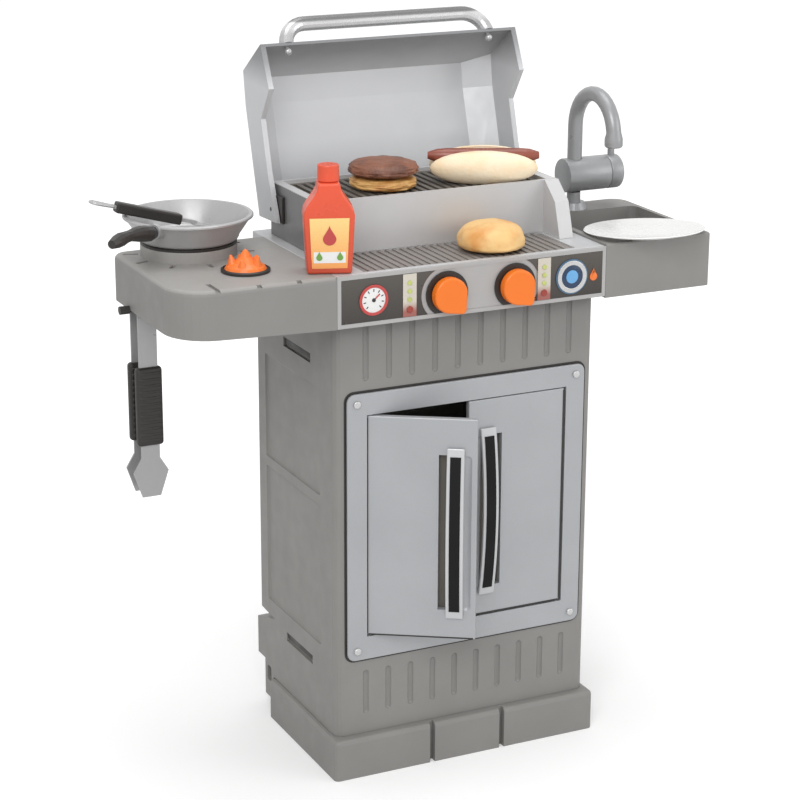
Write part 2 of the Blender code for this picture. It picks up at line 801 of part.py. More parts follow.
def cabinet_body():
    """Hollow cabinet with its door opening, flutes, side panels, slots and rear step."""
    side_view = [
        (FRONT, CABINET_BOTTOM), (FRONT, CABINET_TOP), (BACK, CABINET_TOP), (BACK, NOTCH_TOP),
        (NOTCH_FRONT, NOTCH_TOP - MOULD_ROUND), (STEP_BACK, STEP_TOP), (STEP_BACK, STEP_BOTTOM),
        (FOOT_BACK, STEP_BOTTOM), (FOOT_BACK, FOOT_BOTTOM), (FOOT_FRONT, FOOT_BOTTOM),
        (FOOT_FRONT, CABINET_BOTTOM),
    ]
    body = flat("cabinet_body", side_view, -CABINET_SIDE, CABINET_SIDE, "X")
    round_edges(body, CABINET_CORNER, 4, lambda a, b: upright(a, b) and max(a.y, b.y) < FRONT + MERGE)
    round_edges(body, MOULD_ROUND, 2, lambda a, b: upright(a, b) and min(a.y, b.y) > BACK - MERGE)
    inner = CABINET_SIDE - CABINET_WALL
    front_inside = FRONT + CABINET_WALL
    hollow = block("cabinet_hollow", (-inner, front_inside, NOTCH_TOP + CABINET_WALL),
                   (inner, BACK - CABINET_WALL, CABINET_TOP + OVERRUN))
    under = block("cabinet_under", (-inner, front_inside, CABINET_BOTTOM - OVERRUN),
                  (inner, NOTCH_FRONT - CABINET_WALL, NOTCH_TOP + 2 * CABINET_WALL))
    step_hollow = block("step_hollow", (-inner, NOTCH_FRONT - 2 * CABINET_WALL, STEP_BOTTOM + CABINET_WALL),
                        (inner, STEP_BACK - CABINET_WALL, STEP_TOP - CABINET_WALL))
    sleeve = OPENING_WIDTH / 2 + SLEEVE_WALL + GAP
    opening = block("door_opening",
                    (-sleeve, FRONT - OVERRUN, OPENING_BOTTOM - SLEEVE_WALL - GAP),
                    (sleeve, front_inside + OVERRUN, OPENING_TOP + SLEEVE_WALL + GAP))
    cut(body, hollow, under, step_hollow, opening)
    hatch = block("back_hatch", (-BACK_HATCH_WIDTH / 2, BACK - CABINET_WALL - OVERRUN, BACK_HATCH_BOTTOM),
                  (BACK_HATCH_WIDTH / 2, BACK + OVERRUN, BACK_HATCH_TOP))
    rebate = block("back_rebate",
                   (-BACK_HATCH_WIDTH / 2 - BACK_LIP, BACK - BACK_PANEL_THICKNESS, BACK_HATCH_BOTTOM - BACK_LIP),
                   (BACK_HATCH_WIDTH / 2 + BACK_LIP, BACK + OVERRUN, BACK_HATCH_TOP + BACK_LIP))
    cut(body, hatch, rebate)
    end = FLUTE_WIDTH / 2
    cut(body, flute_cutter("upper_flutes", UPPER_FLUTE_BOTTOM + end, CABINET_TOP + CABINET_CORNER * 3),
        flute_cutter("lower_flutes", LOWER_FLUTE_BOTTOM + end, LOWER_FLUTE_TOP - end))
    for side in (-1, 1):
        cut(body, *side_cutters(side))
    return paint(smooth(body), GREY)


def side_pocket(name, side, front, length, low, high, depth):
    """Pocket cut into one side of the cabinet."""
    outer = side * (CABINET_SIDE + OVERRUN)
    inner = side * (CABINET_SIDE - depth)
    return block(name, (min(outer, inner), front, low), (max(outer, inner), front + length, high))


def side_cutters(side):
    """Two recessed panels, two slots and the foot's hole on one side."""
    panel_front = FRONT + SIDE_PANEL_FRONT
    slot_front = FRONT + SIDE_SLOT_FRONT
    half_slot = SIDE_SLOT_HEIGHT / 2
    foot_middle = (FOOT_FRONT + FOOT_BACK) / 2
    hole_low = CABINET_BOTTOM - FOOT_HOLE_HEIGHT / 2
    cutters = [
        side_pocket("upper_side_panel", side, panel_front, SIDE_PANEL_LENGTH, UPPER_PANEL_BOTTOM,
                    UPPER_PANEL_TOP, SIDE_PANEL_DEPTH),
        side_pocket("lower_side_panel", side, panel_front, SIDE_PANEL_LENGTH, LOWER_PANEL_BOTTOM,
                    LOWER_PANEL_TOP, SIDE_PANEL_DEPTH),
        side_pocket("upper_side_slot", side, slot_front, SIDE_SLOT_LENGTH, UPPER_SLOT_MIDDLE - half_slot,
                    UPPER_SLOT_MIDDLE + half_slot, SIDE_SLOT_DEPTH),
        side_pocket("lower_side_slot", side, slot_front, SIDE_SLOT_LENGTH, LOWER_SLOT_MIDDLE - half_slot,
                    LOWER_SLOT_MIDDLE + half_slot, SIDE_SLOT_DEPTH),
        side_pocket("foot_hole", side, foot_middle - FOOT_HOLE_WIDTH / 2, FOOT_HOLE_WIDTH, hole_low,
                    hole_low + FOOT_HOLE_HEIGHT, FOOT_HOLE_DEPTH),
    ]
    for cutter in cutters[:2]:
        soften(cutter, SIDE_PANEL_DEPTH, 2)
    soften(cutters[-1], FOOT_HOLE_WIDTH / 2 - MOULD_ROUND, 3)
    return cutters


def back_panel():
    """Plate in the rebate that closes the cabinet's back."""
    half = BACK_HATCH_WIDTH / 2 + BACK_LIP - GAP
    panel = block("back_panel",
                  (-half, BACK - BACK_PANEL_THICKNESS + GAP, BACK_HATCH_BOTTOM - BACK_LIP + GAP),
                  (half, BACK, BACK_HATCH_TOP + BACK_LIP - GAP))
    return paint(panel, GREY)


def storage_floor():
    """Floor behind the doors, resting on the cabinet's rear step."""
    half = CABINET_SIDE - CABINET_WALL - GAP
    low = NOTCH_TOP + CABINET_WALL + GAP
    floor = block("storage_floor", (-half, FRONT + CABINET_WALL + GAP, low),
                  (half, BACK - CABINET_WALL - GAP, low + STORAGE_FLOOR_THICKNESS))
    return paint(floor, GREY)


FRAME_BACK = FRONT - GAP
FRAME_FRONT = FRAME_BACK - FRAME_THICKNESS
DOOR_FRONT = FRAME_FRONT + DOOR_RECESS
HINGE_DEPTH = DOOR_FRONT + DOOR_THICKNESS / 2
DOOR_WIDTH = (OPENING_WIDTH - 3 * DOOR_CLEARANCE) / 2
HINGE_SIDE = OPENING_WIDTH / 2 - DOOR_CLEARANCE - DOOR_THICKNESS / 2
DOOR_BOTTOM = OPENING_BOTTOM + DOOR_CLEARANCE
DOOR_TOP = OPENING_TOP - DOOR_CLEARANCE
PIN_BORE = PIN_RADIUS + GAP


def door_frame():
    """Frame round the doors with a sleeve into the cabinet, rivets and the pins' holes."""
    half = FRAME_WIDTH / 2
    frame = flat("door_frame",
                 rounded_rectangle(-half, half, FRAME_BOTTOM, FRAME_TOP, (FRAME_CORNER,) * 4),
                 FRAME_FRONT, FRAME_BACK, "Y")
    soften(frame, SMALL_ROUND, 2, 60)
    opening = OPENING_WIDTH / 2
    sleeve = block("frame_sleeve",
                   (-opening - SLEEVE_WALL, FRAME_FRONT + SMALL_ROUND, OPENING_BOTTOM - SLEEVE_WALL),
                   (opening + SLEEVE_WALL, FRAME_FRONT + SLEEVE_DEPTH, OPENING_TOP + SLEEVE_WALL))
    join(frame, sleeve)
    for side in (-1, 1):
        for height in (FRAME_BOTTOM + RIVET_INSET, FRAME_TOP - RIVET_INSET):
            place = (side * (half - RIVET_INSET), FRAME_FRONT, height)
            join(frame, ball("frame_rivet", place, (RIVET_RADIUS, RIVET_RADIUS / 2, RIVET_RADIUS), 12, 6))
    cut(frame, block("frame_opening", (-opening, FRAME_FRONT - OVERRUN, OPENING_BOTTOM),
                     (opening, FRAME_FRONT + SLEEVE_DEPTH + OVERRUN, OPENING_TOP)))
    for side in (-1, 1):
        cut(frame, rod("frame_pin_hole", (side * HINGE_SIDE, HINGE_DEPTH, OPENING_BOTTOM - SLEEVE_WALL + GAP),
                       (side * HINGE_SIDE, HINGE_DEPTH, OPENING_TOP + SLEEVE_WALL - GAP), PIN_BORE, 16))
    return paint(smooth(frame), DOOR_SILVER)


def door(name, side):
    """Door leaf hinged at its outer edge: side is -1 for the left one, 1 for the right one."""
    half = DOOR_THICKNESS / 2
    free_edge = side * (HINGE_SIDE - DOOR_WIDTH + half)
    hinge_x = side * HINGE_SIDE
    turn = 0 if side > 0 else 180
    outline = arc((hinge_x, HINGE_DEPTH), half, turn - 90, turn + 90, 8)
    outline += [(free_edge, HINGE_DEPTH + side * half), (free_edge, HINGE_DEPTH - side * half)]
    leaf = flat(name, outline, DOOR_BOTTOM, DOOR_TOP)
    soften(leaf, SMALL_ROUND, 2, 60)
    slot_edges = sorted((free_edge + side * SLOT_OUTER_INSET, free_edge + side * SLOT_INNER_INSET))
    slot = block("door_slot", (slot_edges[0], DOOR_FRONT - OVERRUN, HANDLE_MIDDLE - SLOT_SPAN / 2),
                 (slot_edges[1], DOOR_FRONT + DOOR_THICKNESS + OVERRUN, HANDLE_MIDDLE + SLOT_SPAN / 2))
    radius = (SCOOP_WIDTH ** 2 / 4 + SCOOP_DEPTH ** 2) / (2 * SCOOP_DEPTH)
    scoop_x = free_edge + side * (SLOT_INNER_INSET - SCOOP_WIDTH / 2)
    reach = (SLOT_SPAN - SCOOP_WIDTH) / 2
    scoop = capsules("door_scoop", [(scoop_x, DOOR_FRONT + SCOOP_DEPTH - radius)], radius,
                     HANDLE_MIDDLE - reach, HANDLE_MIDDLE + reach, 32)
    cut(leaf, slot, scoop)
    for end, inner in ((DOOR_TOP, DOOR_TOP - PIN_SEAT - GAP), (DOOR_BOTTOM, DOOR_BOTTOM + PIN_SEAT + GAP)):
        outside = end + OVERRUN if end > inner else end - OVERRUN
        cut(leaf, rod("door_pin_hole", (hinge_x, HINGE_DEPTH, inner), (hinge_x, HINGE_DEPTH, outside),
                      PIN_BORE, 16))
    return paint(smooth(leaf), DOOR_SILVER)


def door_handle(name, side):
    """Upright bowed bar over a door's slot, resting on the leaf at both ends."""
    sag = HANDLE_BOW
    radius = (HANDLE_SPAN ** 2 / 4 + sag ** 2) / (2 * sag)
    sweep = math.degrees(math.asin(HANDLE_SPAN / 2 / radius))
    seat = DOOR_FRONT - GAP
    centre = (seat - sag + radius, HANDLE_MIDDLE)
    outline = arc(centre, radius, 180 - sweep, 180 + sweep, 10)
    outline += arc(centre, radius + HANDLE_THICKNESS, 180 + sweep, 180 - sweep, 10)
    free_edge = side * (HINGE_SIDE - DOOR_WIDTH + DOOR_THICKNESS / 2)
    edges = sorted((free_edge + side * HANDLE_EDGE_INSET,
                    free_edge + side * (HANDLE_EDGE_INSET + HANDLE_WIDTH)))
    bar = flat(name, outline, edges[0], edges[1], "X")
    soften(bar, SMALL_ROUND, 2, 60)
    return paint(smooth(bar), SILVER)


def door_pin(name, side, top):
    """Hinge pin in the frame's sleeve and the door's end."""
    end = (DOOR_TOP - PIN_SEAT, OPENING_TOP + SLEEVE_WALL - 2 * GAP) if top else (
        OPENING_BOTTOM - SLEEVE_WALL + 2 * GAP, DOOR_BOTTOM + PIN_SEAT)
    x = side * HINGE_SIDE
    pin = rod(name, (x, HINGE_DEPTH, end[0]), (x, HINGE_DEPTH, end[1]), PIN_RADIUS, 16)
    return paint(smooth(pin), STEEL)


def doors():
    """Frame, both doors with their handles and pins; the left door stands open."""
    door_frame()
    for name, side, angle in (("left", -1, -DOOR_REST_ANGLE), ("right", 1, 0)):
        leaf = door(f"{name}_door", side)
        bar = door_handle(f"{name}_door_handle", side)
        door_pin(f"{name}_door_pin_top", side, True)
        door_pin(f"{name}_door_pin_bottom", side, False)
        hinge = pivot(f"{name}_door_hinge", (side * HINGE_SIDE, HINGE_DEPTH, DOOR_BOTTOM))
        attach(hinge, leaf, bar)
        hinge.rotation_euler.z = angle


DECK_SIDE = CABINET_SIDE + DECK_SIDE_LEDGE
DECK_FRONT = FRONT - DECK_FRONT_LEDGE
DECK_BOTTOM = CABINET_TOP + GAP
PANEL_BACK = DECK_FRONT - GAP
PANEL_FRONT = PANEL_BACK - PANEL_THICKNESS
PANEL_FIELD = PANEL_FRONT + PANEL_RECESS
PANEL_LOW = DECK_BOTTOM + PANEL_BORDER
PANEL_HIGH = DECK_TOP - PANEL_BORDER
SHAFT_BORE = KNOB_SHAFT_RADIUS + GAP


def knob_x(side):
    """Place across the panel of the left knob, side -1, or the right one, side 1."""
    return KNOB_SHIFT + side * KNOB_SPACING / 2


def deck():
    """Hollow deck over the cabinet, open below, with the griddle's pocket and the knobs' bores."""
    slab = block("deck", (-DECK_SIDE, DECK_FRONT, DECK_BOTTOM), (DECK_SIDE, BACK, DECK_TOP))
    soften(slab, SMALL_ROUND, 2)
    hollow = block("deck_hollow", (-DECK_SIDE + DECK_END_WALL, DECK_FRONT + DECK_WALL, DECK_BOTTOM - OVERRUN),
                   (DECK_SIDE - DECK_END_WALL, BACK - DECK_WALL, DECK_TOP - DECK_PLATE))
    pocket = block("griddle_pocket",
                   (-GRIDDLE_WIDTH / 2 - GAP, DECK_FRONT + GRIDDLE_FRONT_INSET, DECK_TOP - GRIDDLE_POCKET),
                   (GRIDDLE_WIDTH / 2 + GAP, FRONT + BOX_FRONT - GAP, DECK_TOP + OVERRUN))
    cut(slab, hollow, pocket)
    for side in (-1, 1):
        cut(slab, rod("deck_knob_bore", (knob_x(side), DECK_FRONT - OVERRUN, KNOB_HEIGHT),
                      (knob_x(side), DECK_FRONT + DECK_WALL + OVERRUN, KNOB_HEIGHT), SHAFT_BORE, 20))
    return paint(slab, SILVER)


def control_panel():
    """Front plate with a raised border round its field."""
    plate = block("control_panel", (-DECK_SIDE, PANEL_FRONT, DECK_BOTTOM), (DECK_SIDE, PANEL_BACK, DECK_TOP))
    soften(plate, SMALL_ROUND / 2, 2)
    field = block("panel_field", (-DECK_SIDE + PANEL_BORDER, PANEL_FRONT - OVERRUN, PANEL_LOW),
                  (DECK_SIDE - PANEL_BORDER, PANEL_FIELD, PANEL_HIGH))
    cut(plate, field)
    for side in (-1, 1):
        cut(plate, rod("panel_knob_bore", (knob_x(side), PANEL_FRONT - OVERRUN, KNOB_HEIGHT),
                       (knob_x(side), PANEL_BACK + OVERRUN, KNOB_HEIGHT), SHAFT_BORE, 20))
    return paint(plate, SILVER)


def panel_plate(name, side):
    """Dark plate on the panel's field, hollowed out round a knob's halo."""
    outer = side * (DECK_SIDE - PANEL_BORDER - GAP)
    low, high = PANEL_LOW + GAP, PANEL_HIGH - GAP
    start = math.degrees(math.asin((low - KNOB_HEIGHT) / HALO_RADIUS))
    end = math.degrees(math.asin((high - KNOB_HEIGHT) / HALO_RADIUS))
    halo = arc((0, KNOB_HEIGHT), HALO_RADIUS, start, end, 12)
    outline = [(knob_x(side) + side * u, v) for u, v in halo]
    outline += [(outer, high), (outer, low)]
    plate = flat(name, outline, PANEL_FIELD - GAP - STICKER_THICKNESS, PANEL_FIELD - GAP, "Y")
    return paint(plate, BADGE)


STICKER_FACE = PANEL_FIELD - GAP - STICKER_THICKNESS


def indicator(name, middle):
    """Upright strip of lights on a dark plate."""
    strip = block(name, (middle - STRIP_WIDTH / 2, STICKER_FACE - GAP - STICKER_THICKNESS, PANEL_LOW + 2 * GAP),
                  (middle + STRIP_WIDTH / 2, STICKER_FACE - GAP, PANEL_HIGH - 2 * GAP))
    return paint(strip, LIGHTS)


def igniter_dial():
    """Round dial plate at the right end."""
    dial = rod("igniter_dial", (DIAL_OFFSET, STICKER_FACE - GAP, DIAL_HEIGHT),
               (DIAL_OFFSET, STICKER_FACE - GAP - DIAL_THICKNESS, DIAL_HEIGHT), DIAL_RADIUS, 48)
    return paint(smooth(dial), DIAL)


def knob(name, side):
    """Knob with a pointed corner and its shaft through the panel."""
    x = knob_x(side)
    rear = PANEL_FIELD - GAP - KNOB_RING_THICKNESS - GAP
    outline = arc((x, KNOB_HEIGHT), KNOB_RADIUS, 10, 260, 30)
    tail, drop, nip = (KNOB_RADIUS * share for share in KNOB_POINT_SHARES)
    outline += [(x + tail - nip, KNOB_HEIGHT - drop), (x + tail, KNOB_HEIGHT - drop + nip)]
    cap = flat(name, outline, rear - KNOB_THICKNESS, rear, "Y")
    soften(cap, SMALL_ROUND * 2, 3, 60)
    join(cap, rod("knob_shaft", (x, rear - KNOB_THICKNESS / 2, KNOB_HEIGHT),
                  (x, rear + KNOB_SHAFT_LENGTH, KNOB_HEIGHT), KNOB_SHAFT_RADIUS, 20))
    return paint(smooth(cap), ORANGE)


def knob_ring(name, side):
    """Dark ring behind a knob, flat along the border under it."""
    x = knob_x(side)
    chord = math.degrees(math.asin((PANEL_LOW + GAP - KNOB_HEIGHT) / KNOB_RING_RADIUS))
    ring = flat(name, arc((x, KNOB_HEIGHT), KNOB_RING_RADIUS, chord, 180 - chord, 36),
                PANEL_FIELD - GAP - KNOB_RING_THICKNESS, PANEL_FIELD - GAP, "Y")
    cut(ring, rod("ring_bore", (x, PANEL_FIELD + OVERRUN, KNOB_HEIGHT),
                  (x, PANEL_FIELD - KNOB_RING_THICKNESS - OVERRUN, KNOB_HEIGHT), SHAFT_BORE, 20))
    return paint(smooth(ring), BLACK)


def controls():
    """Panel with its plates, strips, dial and knobs."""
    deck()
    control_panel()
    panel_plate("left_panel_plate", -1)
    panel_plate("right_panel_plate", 1)
    indicator("left_indicator", LEFT_STRIP_MIDDLE)
    indicator("right_indicator", RIGHT_STRIP_MIDDLE)
    igniter_dial()
    for name, side in (("left", -1), ("right", 1)):
        knob_ring(f"{name}_knob_ring", side)
        cap = knob(f"{name}_knob", side)
        attach(pivot(f"{name}_knob_axis", (knob_x(side), PANEL_FIELD, KNOB_HEIGHT)), cap)


def griddle():
    """Ribbed plate in the deck's pocket."""
    low = DECK_TOP - GRIDDLE_POCKET + GAP
    front, back = DECK_FRONT + GRIDDLE_FRONT_INSET + GAP, FRONT + BOX_FRONT - 2 * GAP
    plate = block("griddle", (-GRIDDLE_WIDTH / 2, front, low), (GRIDDLE_WIDTH / 2, back, low + GRIDDLE_BASE))
    bm = bmesh.new()
    half_row = (RIB_COUNT - 1) / 2
    for index in range(RIB_COUNT):
        made = bmesh.ops.create_cube(bm, size=1)
        size = Vector((RIB_WIDTH, back - front, DECK_TOP - low))
        middle = Vector(((index - half_row) * RIB_PITCH, (front + back) / 2, (DECK_TOP + low) / 2))
        bmesh.ops.scale(bm, vec=size, verts=made["verts"])
        bmesh.ops.translate(bm, vec=middle, verts=made["verts"])
    join(plate, from_bmesh("griddle_ribs", bm))
    return paint(plate, RIBBED)


BOX_SIDE = BOX_WIDTH / 2
BOX_LOW = DECK_TOP + GAP
GRATE_TOP = BOX_TOP - GRATE_DROP
GRATE_LOW = GRATE_TOP - GRATE_THICKNESS
SEAT_SIDE = GRATE_WIDTH / 2 + GAP
SEAT_FRONT = FRONT + BOX_FRONT + BOX_WALL
SEAT_BACK = FRONT + BOX_BACK - BOX_WALL


def grill_box():
    """Open box with a forward cheek at each end and a ledge inside for the grate."""
    box = block("grill_box", (-BOX_SIDE, FRONT + BOX_FRONT, BOX_LOW), (BOX_SIDE, FRONT + BOX_BACK, BOX_TOP))
    front = FRONT + BOX_FRONT
    cheek_view = [
        (front - CHEEK_FOOT, BOX_LOW), (front - CHEEK_SHOULDER, CHEEK_SHOULDER_HEIGHT),
        (front - MOULD_ROUND, BOX_TOP), (front + CHEEK_THICKNESS, BOX_TOP), (front + CHEEK_THICKNESS, BOX_LOW),
    ]
    for side in (-1, 1):
        ends = sorted((side * (BOX_SIDE - CHEEK_THICKNESS), side * BOX_SIDE))
        join(box, flat("cheek", cheek_view, ends[0], ends[1], "X"))
    seat = block("grate_seat", (-SEAT_SIDE, SEAT_FRONT, GRATE_LOW - GAP), (SEAT_SIDE, SEAT_BACK, BOX_TOP + OVERRUN))
    well = block("grill_well", (-SEAT_SIDE + GRATE_LEDGE, SEAT_FRONT + GRATE_LEDGE, BOX_LOW + BOX_FLOOR),
                 (SEAT_SIDE - GRATE_LEDGE, SEAT_BACK - GRATE_LEDGE, GRATE_LOW + OVERRUN))
    cut(box, seat, well)
    return paint(box, SILVER)


def grate():
    """Frame with bars along its depth."""
    half = GRATE_WIDTH / 2
    front, back = SEAT_FRONT + GAP, SEAT_BACK - GAP
    plate = block("grate", (-half, front, GRATE_LOW), (half, back, GRATE_TOP))
    bm = bmesh.new()
    half_row = GRATE_BARS / 2
    gap_width = GRATE_BAR_PITCH - GRATE_BAR_WIDTH
    for index in range(GRATE_BARS + 1):
        made = bmesh.ops.create_cube(bm, size=1)
        size = Vector((gap_width, back - front - 2 * GRATE_FRAME, GRATE_THICKNESS + 2 * OVERRUN))
        middle = Vector(((index - half_row) * GRATE_BAR_PITCH, (front + back) / 2, (GRATE_LOW + GRATE_TOP) / 2))
        bmesh.ops.scale(bm, vec=size, verts=made["verts"])
        bmesh.ops.translate(bm, vec=middle, verts=made["verts"])
    cut(plate, from_bmesh("grate_gaps", bm))
    return paint(plate, DARK)


HINGE = Vector((0, FRONT + LID_HINGE_BEHIND, LID_HINGE_HEIGHT))
LID_SIDE = LID_WIDTH / 2
LID_PLATE_INSIDE = LID_SIDE - LID_SIDE_WALL


def lid_outline(crowned):
    """Closed lid's side view round its hinge: the plain side, or the crown between the slopes."""
    outline = []
    for (u, v), (crown_u, crown_v) in zip(LID_OUTLINE_SHARES, LID_CROWN_SHARES):
        place = Vector((u * LID_REACH, v * LID_RISE))
        if crowned:
            place += Vector((crown_u, crown_v)) * LID_CROWN
        outline.append(tuple(place))
    return outline


def lid_section(outline, x):
    """Outline placed in the world at one distance from the middle."""
    return [HINGE + Vector((x, u, v)) for u, v in outline]


def front_line(height):
    """Depth of the lid's front panel, from the hinge, at a height over the hinge."""
    (low_u, low_v), (high_u, high_v) = lid_outline(False)[:2]
    return low_u + (high_u - low_u) * (height - low_v) / (high_v - low_v)


LID_HANDLE_SLOPE = math.atan2(front_line(LID_RISE) - front_line(0), LID_RISE)


def handle_place(x, stand):
    """Place on the line square to the lid's front panel through a handle's foot; stand is in front of it."""
    foot = Vector((x, front_line(LID_HANDLE_FOOT), LID_HANDLE_FOOT))
    outward = Vector((0, -math.cos(LID_HANDLE_SLOPE), math.sin(LID_HANDLE_SLOPE)))
    return HINGE + foot + outward * stand


def lid_shell():
    """Lid with side plates, sloping shoulders and a crowned top, open below."""
    sides, crown = lid_outline(False), lid_outline(True)
    half_crown = LID_CROWN_WIDTH / 2
    shell = loft("lid_shell", [lid_section(sides, -LID_SIDE), lid_section(crown, -half_crown),
                               lid_section(crown, half_crown), lid_section(sides, LID_SIDE)])
    walls = (LID_WALL,) * 4 + (-LID_MOUTH,) * 4
    inner_sides, inner_crown = offset_outline(sides, walls), offset_outline(crown, walls)
    inside = loft("lid_inside", [
        lid_section(inner_sides, -LID_PLATE_INSIDE), lid_section(inner_crown, -half_crown),
        lid_section(inner_crown, half_crown), lid_section(inner_sides, LID_PLATE_INSIDE)])
    back_edge = BOX_TOP + LID_BACK_CLEARANCE
    mouth = LID_PLATE_INSIDE + 2 * GAP
    back_mouth = block("lid_back_mouth", (-mouth, HINGE.y - LID_CROWN, HINGE.z - LID_RISE),
                       (mouth, HINGE.y + LID_RISE, back_edge))
    cut(shell, inside, back_mouth)
    for side in (-1, 1):
        cut(shell, rod("lid_pin_hole", HINGE + Vector((side * (LID_PLATE_INSIDE - OVERRUN), 0, 0)),
                       HINGE + Vector((side * (LID_SIDE + OVERRUN), 0, 0)), LID_PIN_RADIUS + GAP, 16))
        foot_x = side * LID_HANDLE_SPAN / 2
        cut(shell, rod("lid_screw_hole", handle_place(foot_x, LID_WALL), handle_place(foot_x, -2 * LID_WALL),
                       LID_SCREW_RADIUS + GAP, 16))
    return paint(smooth(shell, 20), SILVER)


def lid_handle():
    """Bent tube on the lid's front with a screw through the panel at each foot."""
    half = LID_HANDLE_SPAN / 2
    route = [handle_place(-half, -LID_HANDLE_CORNER), handle_place(-half, LID_HANDLE_STAND),
             handle_place(half, LID_HANDLE_STAND), handle_place(half, -LID_HANDLE_CORNER)]
    bar = tube("lid_handle", rounded_path(route, LID_HANDLE_CORNER, 8), LID_HANDLE_RADIUS, 5)
    low, high = -LID_HANDLE_CORNER, LID_RISE
    seat = GAP / math.cos(LID_HANDLE_SLOPE)
    behind = [(front_line(low) - seat, low), (front_line(high) - seat, high), (0, high), (0, low)]
    behind = [(HINGE.y + u, HINGE.z + v) for u, v in behind]
    cut(bar, flat("behind_front_panel", behind, -half - 2 * LID_HANDLE_RADIUS, half + 2 * LID_HANDLE_RADIUS, "X"))
    for side in (-1, 1):
        head = handle_place(side * half, -LID_WALL - LID_SCREW_HEAD - GAP)
        screw = rod("handle_screw", head, handle_place(side * half, LID_HANDLE_RADIUS), LID_SCREW_RADIUS, 16)
        join(bar, screw, ball("screw_head", head, (LID_SCREW_HEAD,) * 3, 16, 8))
    return paint(smooth(bar), STEEL)


def lid_bracket(name, side):
    """Dark bracket on the box's side with the lid's pin."""
    inner, outer = side * (BOX_SIDE + GAP), side * (LID_PLATE_INSIDE - GAP)
    bracket = block(name, (min(inner, outer), HINGE.y - LID_BRACKET_FRONT, HINGE.z - LID_BRACKET_LOW),
                    (max(inner, outer), HINGE.y + LID_BRACKET_BACK, HINGE.z + LID_BRACKET_HIGH))
    soften(bracket, SMALL_ROUND, 2)
    middle = (inner + outer) / 2
    join(bracket, rod("lid_pin", (middle, HINGE.y, HINGE.z), (side * LID_SIDE, HINGE.y, HINGE.z),
                      LID_PIN_RADIUS, 16))
    return paint(bracket, BLACK)


def lid():
    """Lid with its handle, turned open on its pins."""
    shell, bar = lid_shell(), lid_handle()
    lid_bracket("left_lid_hinge", -1)
    lid_bracket("right_lid_hinge", 1)
    hinge = pivot("lid_hinge", HINGE)
    attach(hinge, shell, bar)
    hinge.rotation_euler.x = -LID_OPEN_ANGLE


SHELF_RIGHT = -DECK_SIDE - GAP
SHELF_FRONT = FRONT - SHELF_FRONT_LEDGE
PAN_Y = FRONT + PAN_BEHIND
FLAME_Y = FRONT + FLAME_BEHIND
PLATEAU_TOP = DECK_TOP + PLATEAU_HEIGHT


def left_shelf():
    """Hollow shelf, open below and rising to its left end, with the burner's slots."""
    shelf_back = FRONT + SHELF_BACK
    corners = (0, SHELF_BACK_CORNER, SHELF_FRONT_CORNER, 0)
    shelf = flat("left_shelf",
                 rounded_rectangle(-SHELF_LEFT, SHELF_RIGHT, SHELF_FRONT, shelf_back, corners, 8),
                 CABINET_TOP, DECK_TOP)
    round_edges(shelf, SHELF_EDGE_ROUND, 3, lambda a, b: min(a.z, b.z) > DECK_TOP - MERGE
                and max(a.x, b.x) < SHELF_RIGHT + MERGE and not (a.x > SHELF_RIGHT - MERGE < b.x))
    wall = SHELF_WALL
    inner_corners = (0, SHELF_BACK_CORNER - wall, SHELF_FRONT_CORNER - wall, 0)
    hollow = flat("shelf_hollow",
                  rounded_rectangle(-SHELF_LEFT + wall, SHELF_RIGHT - wall, SHELF_FRONT + wall,
                                    shelf_back - wall, inner_corners, 8),
                  CABINET_TOP - OVERRUN, DECK_TOP - SHELF_PLATE)
    rise = flat("shelf_rise", [(-SHELF_LEFT - OVERRUN, CABINET_TOP - OVERRUN),
                               (SHELF_RIGHT + OVERRUN, CABINET_TOP - OVERRUN), (SHELF_RIGHT + OVERRUN, CABINET_TOP),
                               (-SHELF_LEFT - OVERRUN, CABINET_TOP + SHELF_RISE)],
                SHELF_FRONT - OVERRUN, shelf_back + OVERRUN, "Y")
    plateau = rod("burner_plateau", (PAN_X, PAN_Y, DECK_TOP - MOULD_ROUND), (PAN_X, PAN_Y, PLATEAU_TOP),
                  RING_RADIUS, 48, RING_RADIUS)
    soften(plateau, SMALL_ROUND, 2, 60)
    join(shelf, plateau)
    cut(shelf, hollow, rise, burner_slots(), behind_shelf(shelf_back))
    cut(shelf, rod("peg_hole", (-SHELF_LEFT - OVERRUN, FRONT + PEG_BEHIND, PEG_HEIGHT),
                   (-SHELF_LEFT + SHELF_WALL + OVERRUN, FRONT + PEG_BEHIND, PEG_HEIGHT), PEG_RADIUS + GAP, 16))
    return paint(smooth(shelf), GREY)


def behind_shelf(depth):
    """Cutter for all that stands out over the shelf's back edge near the burner."""
    reach = 2 * RING_RADIUS
    return block("behind_shelf", (PAN_X - reach, depth, DECK_TOP + MERGE), (PAN_X + reach, depth + reach, 2 * DECK_TOP))


def burner_slots():
    """Cutters for the short slots round the pan's ring and along the front."""
    bm = bmesh.new()
    places = []
    for index in range(RING_SLOTS):
        angle = 2 * math.pi * (index + 0.5) / RING_SLOTS
        x, y = PAN_X + RING_SLOT_RADIUS * math.cos(angle), PAN_Y + RING_SLOT_RADIUS * math.sin(angle)
        places.append((x, y, RING_SLOT_LENGTH, angle))
    places += [(x, FRONT + behind, length, math.pi / 2) for x, behind, length in FRONT_SLOTS]
    for x, y, length, angle in places:
        made = bmesh.ops.create_cube(bm, size=1)
        bmesh.ops.scale(bm, vec=Vector((length, SLOT_WIDTH, 2 * SLOT_DEPTH)), verts=made["verts"])
        bmesh.ops.rotate(bm, cent=Vector(), matrix=Matrix.Rotation(angle, 3, "Z"), verts=made["verts"])
        bmesh.ops.translate(bm, vec=Vector((x, y, DECK_TOP)), verts=made["verts"])
    return from_bmesh("burner_slots", bm)


